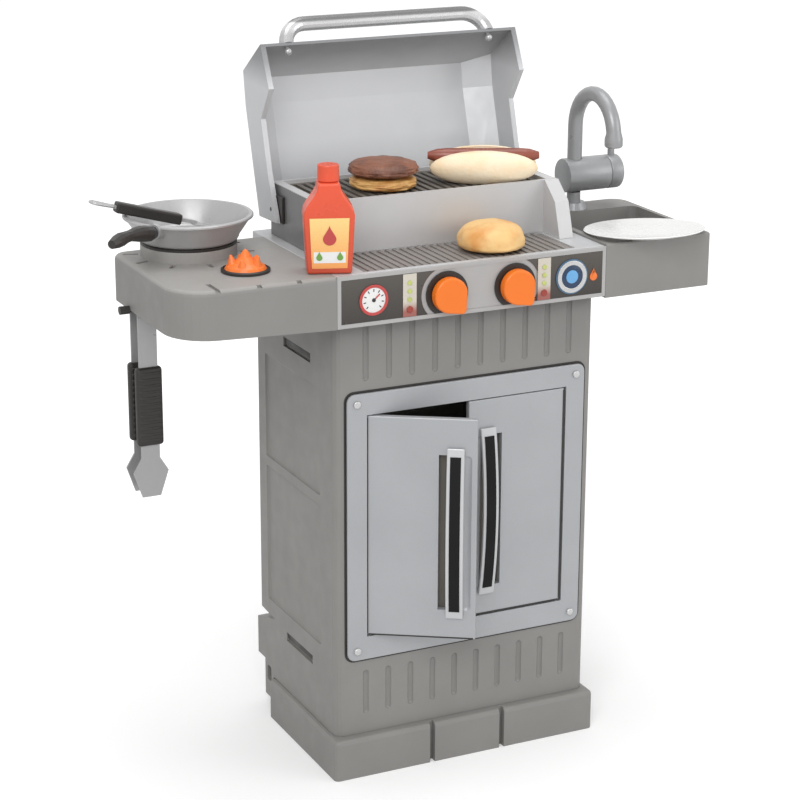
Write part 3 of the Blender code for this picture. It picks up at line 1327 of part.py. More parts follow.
def burner_ring():
    """Thin ring that carries the pan, flat along the shelf's back edge."""
    low, high = PLATEAU_TOP + GAP, PLATEAU_TOP + RING_HEIGHT
    inner = RING_RADIUS - RING_WIDTH
    nip = SMALL_ROUND
    profile = [(inner, high - nip), (inner + nip, high), (RING_RADIUS - nip, high), (RING_RADIUS, high - nip),
               (RING_RADIUS, low), (inner, low)]
    ring = turned("burner_ring", profile, (PAN_X, PAN_Y, 0), 40, closed=True)
    cut(ring, behind_shelf(FRONT + SHELF_BACK - GAP))
    return paint(ring, BLACK)


def burner_disc():
    """Small burner under the flames, with a raised lip."""
    low, high = DECK_TOP + GAP, DECK_TOP + GAP + FLAME_DISC_THICKNESS
    lip = FLAME_DISC_RADIUS - FLAME_DISC_LIP
    profile = [(0, high - SMALL_ROUND), (lip, high - SMALL_ROUND), (lip, high), (FLAME_DISC_RADIUS, high - SMALL_ROUND),
               (FLAME_DISC_RADIUS, low), (0, low)]
    return paint(turned("burner_disc", profile, (FLAME_X, FLAME_Y, 0), 36), BLACK)


def burner_flames():
    """Cluster of flame tongues on the small burner."""
    low = DECK_TOP + FLAME_DISC_THICKNESS - SMALL_ROUND + 2 * GAP
    base = FLAME_DISC_RADIUS - FLAME_DISC_LIP - 2 * GAP
    slope = [(base * out, low + FLAME_HEIGHT * rise) for out, rise in FLAME_SHAPE_SHARES]
    profile = [(0, low + FLAME_HEIGHT), *slope, (0, low)]
    root_out, root_rise = FLAME_ROOT_SHARES
    low_share, high_share = FLAME_TONGUE_SHARES
    cluster = turned("burner_flames", profile, (FLAME_X, FLAME_Y, 0), 20)
    for index in range(FLAME_TONGUES):
        angle = 2 * math.pi * index / FLAME_TONGUES + math.pi / 2
        outward = Vector((math.cos(angle), math.sin(angle), 0))
        root = Vector((FLAME_X, FLAME_Y, low + FLAME_HEIGHT * root_rise)) + outward * FLAME_SPREAD * root_out
        tip = root + outward * FLAME_SPREAD * FLAME_LEAN_SHARE
        tip.z += FLAME_HEIGHT * (0.62 if index % 2 else 0.48)
        join(cluster, rod("flame_tongue", root, tip, FLAME_TONGUE_RADIUS * low_share, 10,
                          FLAME_TONGUE_RADIUS * high_share))
    return paint(smooth(cluster, 40), FLAME)


SINK_LEFT = DECK_SIDE + GAP
SINK_Y_BACK = FRONT + SINK_BACK
BASIN_Y_BACK = FRONT + BASIN_BACK


def sink_shelf():
    """Right shelf with an open basin in front of its wide back rim."""
    shelf = flat("sink_shelf",
                 rounded_rectangle(SINK_LEFT, SINK_RIGHT, SHELF_FRONT, SINK_Y_BACK,
                                   (SINK_BACK_CORNER, 0, 0, SINK_FRONT_CORNER), 6),
                 SINK_BOTTOM, SINK_TOP)
    round_edges(shelf, SMALL_ROUND * 2, 3, lambda a, b: min(a.z, b.z) > SINK_TOP - MERGE
                and not (a.x < SINK_LEFT + MERGE > b.x))
    basin = flat("basin",
                 rounded_rectangle(SINK_LEFT + SINK_SIDE_RIM, SINK_RIGHT - SINK_SIDE_RIM, SHELF_FRONT + SINK_FRONT_RIM,
                                   BASIN_Y_BACK, (BASIN_CORNER,) * 4, 4),
                 SINK_TOP - BASIN_DEPTH, SINK_TOP + OVERRUN)
    under = block("sink_under", (SINK_LEFT + SINK_UNDER_WALL, BASIN_Y_BACK + SINK_UNDER_WALL, SINK_BOTTOM - OVERRUN),
                  (SINK_RIGHT - SINK_BACK_CORNER, SINK_Y_BACK - SINK_UNDER_WALL, SINK_TOP - SINK_UNDER_WALL))
    cut(shelf, basin, under)
    return paint(smooth(shelf), GREY)


FAUCET = Vector((FAUCET_X, FRONT + FAUCET_BEHIND, SINK_TOP + GAP))
BODY_TURNING = BODY_RIGHT - BODY_TURNING_END


def faucet_base():
    """Flange and stem under the faucet's body."""
    base = rod("faucet_base", FAUCET, FAUCET + Vector((0, 0, FLANGE_THICKNESS)), FLANGE_RADIUS, 32,
               FLANGE_RADIUS - MOULD_ROUND)
    top = BODY_HEIGHT - BODY_RADIUS - GAP
    join(base, rod("faucet_stem", FAUCET + Vector((0, 0, FLANGE_THICKNESS / 2)), (FAUCET.x, FAUCET.y, top),
                   STEM_RADIUS, 24))
    return paint(smooth(base), FAUCET_GREY)


def faucet_body():
    """Crosswise cylinder that turns on the stem, with the spout's socket."""
    body = rod("faucet_body", (BODY_LEFT, FAUCET.y, BODY_HEIGHT), (BODY_TURNING - GAP, FAUCET.y, BODY_HEIGHT),
               BODY_RADIUS, 36)
    soften(body, SMALL_ROUND, 2, 60)
    socket = BODY_HEIGHT + BODY_RADIUS - MOULD_ROUND
    cut(body, rod("spout_socket", (FAUCET.x, FAUCET.y, socket - MOULD_ROUND),
                  (FAUCET.x, FAUCET.y, BODY_HEIGHT + 2 * BODY_RADIUS), SPOUT_RADIUS + GAP, 24))
    return paint(smooth(body), FAUCET_GREY)


def faucet_spout():
    """Curved spout with a thicker nozzle."""
    reach = SPOUT_REACH
    radius = reach / 2
    foot = BODY_HEIGHT + BODY_RADIUS - 2 * MOULD_ROUND + GAP
    bend = SPOUT_TOP - radius
    centre_y = FAUCET.y - radius
    points = [Vector((FAUCET.x, FAUCET.y, foot)), Vector((FAUCET.x, FAUCET.y, (foot + bend) / 2))]
    points += [Vector((FAUCET.x, y, z)) for y, z in arc((centre_y, bend), radius, 0, 180, 16)]
    points.append(Vector((FAUCET.x, FAUCET.y - reach, NOZZLE_BOTTOM + NOZZLE_LENGTH / 2)))
    spout = tube("faucet_spout", points, SPOUT_RADIUS, 6)
    nozzle = arc((NOZZLE_RADIUS - MOULD_ROUND, NOZZLE_BOTTOM + MOULD_ROUND), MOULD_ROUND, 0, -90, 4)
    nozzle = [(0, NOZZLE_BOTTOM + NOZZLE_LENGTH), (SPOUT_RADIUS - SMALL_ROUND, NOZZLE_BOTTOM + NOZZLE_LENGTH),
              (NOZZLE_RADIUS, NOZZLE_BOTTOM + NOZZLE_LENGTH / 2)] + nozzle + [(0, NOZZLE_BOTTOM)]
    join(spout, turned("spout_nozzle", nozzle, (FAUCET.x, FAUCET.y - reach, 0), 32))
    return paint(smooth(spout), FAUCET_GREY)


def faucet_handle():
    """Turning end of the body with a small peg."""
    end = rod("faucet_handle", (BODY_TURNING, FAUCET.y, BODY_HEIGHT), (BODY_RIGHT, FAUCET.y, BODY_HEIGHT),
              BODY_RADIUS, 36)
    soften(end, SMALL_ROUND * 2, 3, 60)
    middle = (BODY_TURNING + BODY_RIGHT) / 2
    top = BODY_HEIGHT + BODY_RADIUS
    join(end, rod("tap_peg", (middle, FAUCET.y, top - MOULD_ROUND), (middle, FAUCET.y, top + TAP_PEG_LENGTH),
                  TAP_PEG_RADIUS, 16))
    return paint(smooth(end), FAUCET_GREY)


def faucet():
    """Faucet with its swivelling body and turning end."""
    faucet_base()
    body, spout, end = faucet_body(), faucet_spout(), faucet_handle()
    swivel = pivot("faucet_swivel", (FAUCET.x, FAUCET.y, BODY_HEIGHT))
    turning = pivot("faucet_handle_axis", (BODY_TURNING, FAUCET.y, BODY_HEIGHT))
    attach(turning, end)
    attach(swivel, body, spout, turning)


PAN_LOW = PLATEAU_TOP + RING_HEIGHT + GAP
PAN_RIM = PAN_LOW + PAN_HEIGHT


def pan_body():
    """Solid pan with a sloping wall and a turned-out rim."""
    base_round = arc((PAN_BASE_RADIUS - PAN_BASE_ROUND, PAN_LOW + PAN_BASE_ROUND), PAN_BASE_ROUND, 0, -90, 4)
    profile = [(0, PAN_RIM), (PAN_RIM_RADIUS - SMALL_ROUND, PAN_RIM), (PAN_RIM_RADIUS, PAN_RIM - SMALL_ROUND),
               (PAN_RIM_RADIUS, PAN_RIM - PAN_LIP), (PAN_WALL_RADIUS, PAN_RIM - PAN_LIP)]
    return turned("pan_body", profile + base_round + [(0, PAN_LOW)], (PAN_X, PAN_Y, 0), 56)


def pan_hollow():
    """Cutter for the pan's inside."""
    inner_floor, inner_base = PAN_LOW + PAN_FLOOR, PAN_BASE_RADIUS - PAN_WALL
    inner_rim = PAN_WALL_RADIUS - PAN_WALL
    base_round = arc((inner_base - PAN_BASE_ROUND, inner_floor + PAN_BASE_ROUND), PAN_BASE_ROUND, 0, -90, 4)
    profile = [(0, PAN_RIM + OVERRUN), (inner_rim, PAN_RIM + OVERRUN), (inner_rim, PAN_RIM)]
    return turned("pan_hollow", profile + base_round + [(0, inner_floor)], (PAN_X, PAN_Y, 0), 56)


def pan():
    """Pan and its handle."""
    body = pan_body()
    level = Vector((math.cos(PAN_HANDLE_ANGLE), math.sin(PAN_HANDLE_ANGLE), 0))
    outward = level * math.cos(PAN_HANDLE_PITCH) + Vector((0, 0, math.sin(PAN_HANDLE_PITCH)))
    centre = Vector((PAN_X, PAN_Y, PAN_LOW + PAN_HANDLE_HEIGHT))
    wall_radius = PAN_BASE_RADIUS + (PAN_WALL_RADIUS - PAN_BASE_RADIUS) / 2
    mount_end = centre + outward * (wall_radius + PAN_MOUNT_LENGTH)
    join(body, rod("pan_mount", centre + outward * PAN_BASE_RADIUS / 2, mount_end, PAN_MOUNT_RADIUS, 20))
    cut(body, pan_hollow())
    paint(body, STEEL, "pan_body")
    count = len(PAN_HANDLE_THICKNESS_SHARES)
    start = mount_end + outward * GAP
    points = []
    for index in range(count):
        share = index / (count - 1)
        bent = max(0, index - 1) / (count - 2)
        rise, fall = PAN_HANDLE_BOW_SHARES
        droop = PAN_HANDLE_RADIUS * (rise * math.sin(bent * math.pi) - fall * bent * bent)
        points.append(start + outward * PAN_HANDLE_LENGTH * share + Vector((0, 0, droop)))
    grip = tube("pan_handle", points, PAN_HANDLE_RADIUS, 4, PAN_HANDLE_THICKNESS_SHARES)
    paint(smooth(grip), BLACK)
    return body, grip


def spatula():
    """Spatula leaning in the pan: blade, shaft and loop in one, and the grip round the shaft."""
    half_shaft = SHAFT_WIDTH / 2
    blade_half = BLADE_WIDTH / 2
    grip_end = SPATULA_GRIP_START + SPATULA_GRIP_LENGTH
    blade = flat("spatula_blade",
                 rounded_rectangle(0, BLADE_LENGTH, -blade_half, blade_half, (blade_half / 2, MOULD_ROUND,
                                                                              MOULD_ROUND, blade_half / 2), 3),
                 0, BLADE_THICKNESS)
    shaft = block("spatula_shaft", (BLADE_LENGTH - blade_half / 2, -half_shaft, BLADE_THICKNESS / 2),
                  (grip_end + LOOP_WIRE * 2, half_shaft, BLADE_THICKNESS / 2 + SHAFT_THICKNESS))
    middle = BLADE_THICKNESS / 2 + SHAFT_THICKNESS / 2
    loop_half = LOOP_WIDTH / 2
    start = grip_end + LOOP_WIRE
    loop_points = arc((start + LOOP_LENGTH - loop_half, 0), loop_half, -90, 90, 8)
    loop_points += arc((start + loop_half / 2, 0), loop_half / 2, 90, 270, 6)
    loop = tube("spatula_loop", [(u, v, middle) for u, v in loop_points], LOOP_WIRE, 2, cyclic=True)
    join(blade, shaft, loop)
    paint(blade, STEEL)
    grip_half = SPATULA_GRIP_WIDTH / 2
    grip = block("spatula_grip", (SPATULA_GRIP_START, -grip_half, middle - SPATULA_GRIP_THICKNESS / 2),
                 (grip_end, grip_half, middle + SPATULA_GRIP_THICKNESS / 2))
    soften(grip, SMALL_ROUND * 2, 3)
    cut(grip, block("grip_bore", (SPATULA_GRIP_START - OVERRUN, -half_shaft - GAP, BLADE_THICKNESS / 2 - GAP),
                    (grip_end + OVERRUN, half_shaft + GAP, BLADE_THICKNESS / 2 + SHAFT_THICKNESS + GAP)))
    paint(grip, BLACK)
    tip = Vector((SPATULA_TIP_X, FRONT + SPATULA_TIP_BEHIND, PAN_LOW + PAN_FLOOR + 2 * GAP))
    rest = pivot("spatula_rest", (0, 0, 0))
    attach(rest, blade, grip)
    rest.location = tip
    rest.rotation_euler = (0, -SPATULA_PITCH, math.pi)
    return blade, grip


def utensil_peg():
    """Peg through the shelf's left wall, its head outside."""
    y = FRONT + PEG_BEHIND
    peg = rod("utensil_peg", (-SHELF_LEFT - GAP - PEG_HEAD_LENGTH, y, PEG_HEIGHT), (-PEG_END, y, PEG_HEIGHT),
              PEG_RADIUS, 20)
    join(peg, rod("peg_head", (-SHELF_LEFT - GAP - PEG_HEAD_LENGTH, y, PEG_HEIGHT), (-SHELF_LEFT - GAP, y, PEG_HEIGHT),
                  PEG_HEAD_RADIUS, 20))
    return paint(smooth(peg), BLACK)


TONGS_OUTER = (TONGS_SPREAD + TONGS_STRIP) / 2
TONGS_INNER = (TONGS_SPREAD - TONGS_STRIP) / 2
BEND_CENTRE = Vector((0, FRONT + PEG_BEHIND, PEG_HEIGHT + PEG_RADIUS + TONGS_HANG - TONGS_INNER))


def tongs_bend():
    """Half round bend of the tongs' strip over the peg."""
    centre = (BEND_CENTRE.y, BEND_CENTRE.z)
    outline = arc(centre, TONGS_OUTER, 0, 180, TONGS_BEND_STEPS) + arc(centre, TONGS_INNER, 180, 0, TONGS_BEND_STEPS)
    bend = flat("tongs_bend", outline, -TONGS_LEFT, -TONGS_LEFT + TONGS_WIDTH, "X")
    return paint(smooth(bend), STEEL)


def tongs_arm(name, side):
    """One straight arm of the tongs with its jaw: side is -1 for the front arm, 1 for the rear one."""
    y, top = BEND_CENTRE.y, BEND_CENTRE.z - GAP
    outer, inner = TONGS_OUTER, TONGS_INNER
    outline = [(y + side * outer, top), (y + side * inner, top), (y + side * inner, TONGS_BOTTOM),
               (y + side * outer, TONGS_BOTTOM)]
    arm = flat(name, outline, -TONGS_LEFT, -TONGS_LEFT + TONGS_WIDTH, "X")
    middle = -TONGS_LEFT + TONGS_WIDTH / 2
    half, jaw = TONGS_WIDTH / 2, JAW_WIDTH / 2
    jaw_view = [(middle - half, JAW_TOP + half), (middle + half, JAW_TOP + half), (middle + jaw, JAW_TOP - half / 2),
                (middle + half, TONGS_BOTTOM), (middle - half, TONGS_BOTTOM), (middle - jaw, JAW_TOP - half / 2)]
    sides = sorted((y + side * inner, y + side * outer))
    join(arm, flat("tongs_jaw", jaw_view, sides[0], sides[1], "Y"))
    return paint(smooth(arm), STEEL)


def tongs_grip(name, side):
    """Black grip round one arm of the tongs."""
    middle_x = -TONGS_LEFT + TONGS_WIDTH / 2
    middle_y = FRONT + PEG_BEHIND + side * TONGS_SPREAD / 2
    half_width, half_thickness = TONGS_GRIP_WIDTH / 2, TONGS_GRIP_THICKNESS / 2
    grip = block(name, (middle_x - half_width, middle_y - half_thickness, TONGS_GRIP_BOTTOM),
                 (middle_x + half_width, middle_y + half_thickness, TONGS_GRIP_TOP))
    soften(grip, half_thickness - SMALL_ROUND, 3)
    strip_half, width_half = TONGS_STRIP / 2 + GAP, TONGS_WIDTH / 2 + GAP
    cut(grip, block("tongs_bore", (middle_x - width_half, middle_y - strip_half, TONGS_GRIP_BOTTOM - OVERRUN),
                    (middle_x + width_half, middle_y + strip_half, TONGS_GRIP_TOP + OVERRUN)))
    return paint(smooth(grip), BLACK)


def tongs():
    """Tongs over the peg; the rear arm turns about the bend's rear end."""
    bend = tongs_bend()
    front = tongs_arm("tongs_front_arm", -1)
    front_grip = tongs_grip("tongs_front_grip", -1)
    rear = tongs_arm("tongs_rear_arm", 1)
    rear_grip = tongs_grip("tongs_rear_grip", 1)
    middle = Vector((-TONGS_LEFT + TONGS_WIDTH / 2, 0, 0))
    slide = pivot("tongs_slide", BEND_CENTRE + middle)
    squeeze = pivot("tongs_squeeze", BEND_CENTRE + middle + Vector((0, TONGS_SPREAD / 2, 0)))
    attach(squeeze, rear, rear_grip)
    attach(slide, bend, front, front_grip, squeeze)


BOTTLE = Vector((BOTTLE_X, FRONT + BOTTLE_BEHIND, DECK_TOP + GAP))


def sauce_bottle():
    """Flat bottle with sloping shoulders."""
    base, shoulder, neck = BOTTLE_BASE_WIDTH / 2, BOTTLE_SHOULDER_WIDTH / 2, BOTTLE_NECK_WIDTH / 2
    slope = []
    for index in range(BOTTLE_SHOULDER_STEPS + 1):
        share = index / BOTTLE_SHOULDER_STEPS
        swing = (1 + math.cos(math.pi * share)) / 2
        slope.append((neck + (shoulder - neck) * swing,
                      BOTTLE_SHOULDER_HEIGHT + (BOTTLE_NECK_HEIGHT - MOULD_ROUND - BOTTLE_SHOULDER_HEIGHT) * share))
    slope.append((neck, BOTTLE_NECK_HEIGHT))
    outline = [(-base, 0), (base, 0)] + slope + [(-x, z) for x, z in reversed(slope)]
    bottle = flat("sauce_bottle", outline, -BOTTLE_DEPTH / 2, BOTTLE_DEPTH / 2, "Y")
    soften(bottle, MOULD_ROUND, 3, 40)
    return paint(smooth(bottle), RED)


def bottle_cap():
    """Round cap on the bottle's neck."""
    cap = rod("bottle_cap", (0, 0, BOTTLE_NECK_HEIGHT + GAP), (0, 0, BOTTLE_HEIGHT), CAP_RADIUS, 32, CAP_TOP_RADIUS)
    soften(cap, SMALL_ROUND, 2, 60)
    return paint(smooth(cap), RED)


def bottle_label():
    """Label on the bottle's front."""
    low, high = LABEL_BOTTOM_WIDTH / 2, LABEL_TOP_WIDTH / 2
    outline = [(-low, LABEL_BOTTOM), (low, LABEL_BOTTOM), (high, LABEL_TOP), (-high, LABEL_TOP)]
    front = -BOTTLE_DEPTH / 2 - GAP
    return paint(flat("bottle_label", outline, front - LABEL_THICKNESS, front, "Y"), LABEL)


def bottle():
    """Bottle, cap and label, turned on the shelf's corner."""
    pieces = (sauce_bottle(), bottle_cap(), bottle_label())
    stand = pivot("bottle_stand", (0, 0, 0))
    attach(stand, *pieces)
    stand.location = BOTTLE
    stand.rotation_euler.z = BOTTLE_TURN


def dome_profile(radius, height, low, waist_share):
    """Profile of a bun: a flattened dome over a rounded lower edge."""
    edge = height * waist_share
    top = [(radius * math.sin(math.radians(a)), low + edge + (height - edge) * math.cos(math.radians(a)))
           for a in range(0, 91, 15)]
    bottom = [(radius - edge * BUN_EDGE_SHARE * (1 - math.cos(math.radians(a))),
               low + edge * (1 - math.sin(math.radians(a))))
              for a in range(30, 91, 30)]
    return top + bottom + [(0, low)]


def food():
    """Burger, bun top and hot dog."""
    low = GRATE_TOP + GAP
    burger = (BURGER_X, FRONT + BURGER_BEHIND, 0)
    lower = turned("bun_bottom", dome_profile(BUN_BOTTOM_RADIUS, BUN_BOTTOM_HEIGHT, low, BUN_BOTTOM_WAIST_SHARE),
                   burger, 36)
    flat_top = low + BUN_BOTTOM_HEIGHT - MOULD_ROUND
    reach = 2 * BUN_BOTTOM_RADIUS
    cut(lower, block("bun_slice", (burger[0] - reach, burger[1] - reach, flat_top),
                     (burger[0] + reach, burger[1] + reach, flat_top + BUN_BOTTOM_HEIGHT)))
    paint(smooth(lower), BREAD)
    patty = turned("burger_patty", dome_profile(PATTY_RADIUS, PATTY_HEIGHT, flat_top + GAP, PATTY_WAIST_SHARE),
                   burger, 36)
    paint(smooth(patty), MEAT)
    crown = turned("bun_top", dome_profile(BUN_TOP_RADIUS, BUN_TOP_HEIGHT, DECK_TOP + GAP, BUN_TOP_WAIST_SHARE),
                   (BUN_TOP_X, FRONT + BUN_TOP_BEHIND, 0), 36)
    paint(smooth(crown), BREAD)
    bun, sausage = hot_dog(low)
    return lower, patty, crown, bun, sausage


def hot_dog(low):
    """Bun of two long halves with the sausage in the groove between them, turned on the grate."""
    halves = []
    for name, side, height in (("hot_dog_bun", -1, HOT_DOG_HEIGHT), ("rear_bun_half", 1, HOT_DOG_REAR_HEIGHT)):
        centre = (0, side * HOT_DOG_APART / 2, height / 2 - MOULD_ROUND)
        halves.append(ball(name, centre, (HOT_DOG_LENGTH / 2, HOT_DOG_HALF_WIDTH / 2, height / 2), 32, 14))
    bun = join(*halves)
    reach = HOT_DOG_LENGTH
    cut(bun, block("bun_base_cut", (-reach, -reach, -HOT_DOG_HEIGHT), (reach, reach, 0)))
    route = []
    for index in range(SAUSAGE_STEPS + 1):
        share = 2 * index / SAUSAGE_STEPS - 1
        route.append(Vector((share * SAUSAGE_LENGTH / 2, 0, SAUSAGE_HEIGHT - SAUSAGE_SAG * (1 - share * share))))
    middle = [1.0] * (SAUSAGE_STEPS + 1 - 2 * len(SAUSAGE_END_SHARES))
    shares = [*SAUSAGE_END_SHARES, *middle, *reversed(SAUSAGE_END_SHARES)]
    sausage = tube("sausage", route, SAUSAGE_RADIUS, 4, shares)
    slot_half = SAUSAGE_RADIUS + GAP
    groove = tube("sausage_groove", route, slot_half, 4, shares)
    cut(bun, groove, block("sausage_mouth", (-reach, -slot_half, SAUSAGE_HEIGHT - SAUSAGE_SAG),
                           (reach, slot_half, 2 * HOT_DOG_HEIGHT)))
    paint(smooth(bun), CREAM)
    paint(smooth(sausage), SAUSAGE_RED)
    stand = pivot("hot_dog_stand", (0, 0, 0))
    attach(stand, bun, sausage)
    stand.location = (HOT_DOG_X, FRONT + HOT_DOG_BEHIND, low)
    stand.rotation_euler.z = HOT_DOG_TURN
    return bun, sausage


def plate():
    """Shallow plate over the sink, its back edge dipping into the basin."""
    rim, wall = PLATE_RADIUS, PLATE_WALL
    well = rim * PLATE_WELL_SHARE
    profile = [(rim - SMALL_ROUND, PLATE_HEIGHT), (rim, PLATE_HEIGHT - wall / 2),
               (rim - SMALL_ROUND, PLATE_HEIGHT - wall), (well, 0), (0, 0), (0, wall), (well - wall, wall)]
    dish = turned("plate", profile, (0, 0, 0), 56, closed=True)
    dish.location = (PLATE_X, FRONT + PLATE_BEHIND, SINK_TOP - PLATE_DIP)
    dish.rotation_euler.x = -PLATE_TILT
    return paint(smooth(dish), WHITE)


base_plinth()
cabinet_body()
back_panel()
storage_floor()
doors()
controls()
griddle()
grill_box()
grate()
lid()
left_shelf()
burner_ring()
burner_disc()
burner_flames()
sink_shelf()
faucet()
pan()
spatula()
utensil_peg()
tongs()
bottle()
food()
plate()
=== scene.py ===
"""Looks of a toy barbecue grill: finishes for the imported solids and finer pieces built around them.

Metres, +Z up, the origin on the floor under the middle of the cabinet, the front facing -Y.
"""

import logging
import math
from collections.abc import Sequence
from dataclasses import dataclass, field
from enum import Enum
from functools import lru_cache

import bmesh
import bpy
from mathutils import Matrix, Vector, noise

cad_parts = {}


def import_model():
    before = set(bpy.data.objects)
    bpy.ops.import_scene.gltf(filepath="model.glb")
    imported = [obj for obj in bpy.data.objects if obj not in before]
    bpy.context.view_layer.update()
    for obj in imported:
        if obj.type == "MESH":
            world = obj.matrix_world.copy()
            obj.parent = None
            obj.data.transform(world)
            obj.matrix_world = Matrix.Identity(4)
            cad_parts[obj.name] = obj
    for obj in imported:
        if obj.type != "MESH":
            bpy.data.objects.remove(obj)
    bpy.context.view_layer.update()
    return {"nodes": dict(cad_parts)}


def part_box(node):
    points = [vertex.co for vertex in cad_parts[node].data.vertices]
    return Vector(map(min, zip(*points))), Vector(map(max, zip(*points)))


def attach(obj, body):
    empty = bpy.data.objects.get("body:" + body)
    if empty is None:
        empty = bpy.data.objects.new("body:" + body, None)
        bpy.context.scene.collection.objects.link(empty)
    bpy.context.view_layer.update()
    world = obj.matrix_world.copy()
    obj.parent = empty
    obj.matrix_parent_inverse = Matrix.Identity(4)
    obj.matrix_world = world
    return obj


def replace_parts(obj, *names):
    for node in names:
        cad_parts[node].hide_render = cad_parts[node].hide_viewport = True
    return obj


LOG = logging.getLogger("barbecue")
Point = tuple[float, float, float]
Flat = tuple[float, float]
Colour = tuple[float, float, float]
Shape = bmesh.types.BMesh
Socket = bpy.types.NodeSocket

FRONT = -0.120
SLIP = 0.0003
TURN = 2 * math.pi
NOISE_LOW, NOISE_HIGH = 0.3, 0.7
FLAKE_SCALE = 2600.0
FLAKE_SHADES = ((0.2, (0.86, 0.86, 0.86)), (0.8, (1.1, 1.1, 1.1)))
GLOSS_SCALE, GLOSS_DETAIL, GLOSS_FLOOR = 40.0, 5.0, 0.04
SPECKLE_SCALE, SPECKLE_SHADE = 600.0, (0.94, 0.94, 0.94)
SKIN_STRENGTH, PIT_STRENGTH = 0.6, 0.5
TOAST_LOW, TOAST_MIDDLE, TOAST_HIGH = 0.32, 0.55, 0.8
WHOLE = (1.0, 1.0, 1.0)


class Stage(Enum):
    """Where a light stands round the object."""

    KEY = "key"
    FILL = "fill"
    TOP = "top"


class Axis(Enum):
    """Axis of the part that a colour changes along."""

    X = "X"
    Z = "Z"


class Graph:
    """Short ways to add and join a material's nodes."""

    def __init__(self, name: str) -> None:
        """Starts a material with its Principled shader.

        Args:
            name: The material's name.
        """
        self.material = bpy.data.materials.new(name)
        self.material.use_nodes = True
        self.tree = self.material.node_tree
        self.shader = self.tree.nodes["Principled BSDF"]
        self.place = self.add("ShaderNodeTexCoord").outputs["Object"]

    def add(self, kind: str, **values: object) -> bpy.types.Node:
        """Adds a node and sets its properties.

        Args:
            kind: The node's type.
            **values: Properties by name.

        Returns:
            The node.
        """
        node = self.tree.nodes.new(kind)
        for key, value in values.items():
            setattr(node, key, value)
        return node

    def feed(self, node: bpy.types.Node, socket: str | int, value: object) -> None:
        """Links an output to an input, or sets the input to a value.

        Args:
            node: The node with the input.
            socket: The input's name or number.
            value: An output socket or a plain value.
        """
        if isinstance(value, Socket):
            self.tree.links.new(value, node.inputs[socket])
        else:
            node.inputs[socket].default_value = value

    def noise(self, scale: float, detail: float = 3.0, stretch: Point = (1, 1, 1)) -> Socket:
        """Noise over the object.

        Args:
            scale: Cells per metre.
            detail: Octaves.
            stretch: Factors along X, Y and Z.

        Returns:
            The noise's value output.
        """
        mapping = self.add("ShaderNodeMapping")
        self.feed(mapping, "Vector", self.place)
        self.feed(mapping, "Scale", stretch)
        pattern = self.add("ShaderNodeTexNoise")
        self.feed(pattern, "Vector", mapping.outputs["Vector"])
        self.feed(pattern, "Scale", scale)
        self.feed(pattern, "Detail", detail)
        return pattern.outputs["Fac"]

    def cells(self, scale: float, feature: str = "F1") -> bpy.types.Node:
        """Voronoi cells over the object.

        Args:
            scale: Cells per metre.
            feature: The distance that it gives.

        Returns:
            The node.
        """
        pattern = self.add("ShaderNodeTexVoronoi", feature=feature)
        self.feed(pattern, "Vector", self.place)
        self.feed(pattern, "Scale", scale)
        return pattern

    def ramp(self, value: Socket, stops: Sequence[tuple[float, Colour]]) -> Socket:
        """Colour ramp.

        Args:
            value: The factor.
            stops: Places from 0 to 1 with their colours.

        Returns:
            The ramp's colour output.
        """
        node = self.add("ShaderNodeValToRGB")
        self.feed(node, "Fac", value)
        band = node.color_ramp
        while len(band.elements) < len(stops):
            band.elements.new(0.5)
        for element, (where, colour) in zip(band.elements, stops):
            element.position = where
            element.color = (*colour, 1)
        return node.outputs["Color"]

    def spread(self, value: Socket, low: float, high: float, start: float = 0.0, end: float = 1.0) -> Socket:
        """Maps a value from one span to another.

        Args:
            value: The value.
            low: The result at the start.
            high: The result at the end.
            start: The value where the span starts.
            end: The value where the span ends.

        Returns:
            The result.
        """
        node = self.add("ShaderNodeMapRange")
        for socket, number in (("From Min", start), ("From Max", end), ("To Min", low), ("To Max", high)):
            self.feed(node, socket, number)
        self.feed(node, "Value", value)
        return node.outputs["Result"]

    def along(self, axis: Axis, start: float, end: float) -> Socket:
        """Goes from 0 to 1 along an axis of the part.

        Args:
            axis: The axis.
            start: Where it is 0.
            end: Where it is 1.

        Returns:
            The result.
        """
        split = self.add("ShaderNodeSeparateXYZ")
        self.feed(split, "Vector", self.place)
        return self.spread(split.outputs[axis.value], 0.0, 1.0, start, end)

    def blend(self, factor: float, first: Socket, second: Socket) -> Socket:
        """Multiplies two colours.

        Args:
            factor: How much of the second one counts.
            first: The first colour.
            second: The second colour.

        Returns:
            The mixed colour.
        """
        node = self.add("ShaderNodeMix", data_type="RGBA", blend_type="MULTIPLY")
        for socket, value in ((0, factor), (6, first), (7, second)):
            self.feed(node, socket, value)
        return node.outputs[2]

    def relief(self, height: Socket, depth: float, strength: float, below: Socket | None = None) -> Socket:
        """Bump from a height.

        Args:
            height: The height's value.
            depth: The relief's real depth in metres.
            strength: How much of it shows.
            below: A normal that it is added to.

        Returns:
            The bumped normal.
        """
        node = self.add("ShaderNodeBump")
        self.feed(node, "Height", height)
        self.feed(node, "Distance", depth)
        self.feed(node, "Strength", strength)
        if below is not None:
            self.feed(node, "Normal", below)
        return node.outputs["Normal"]


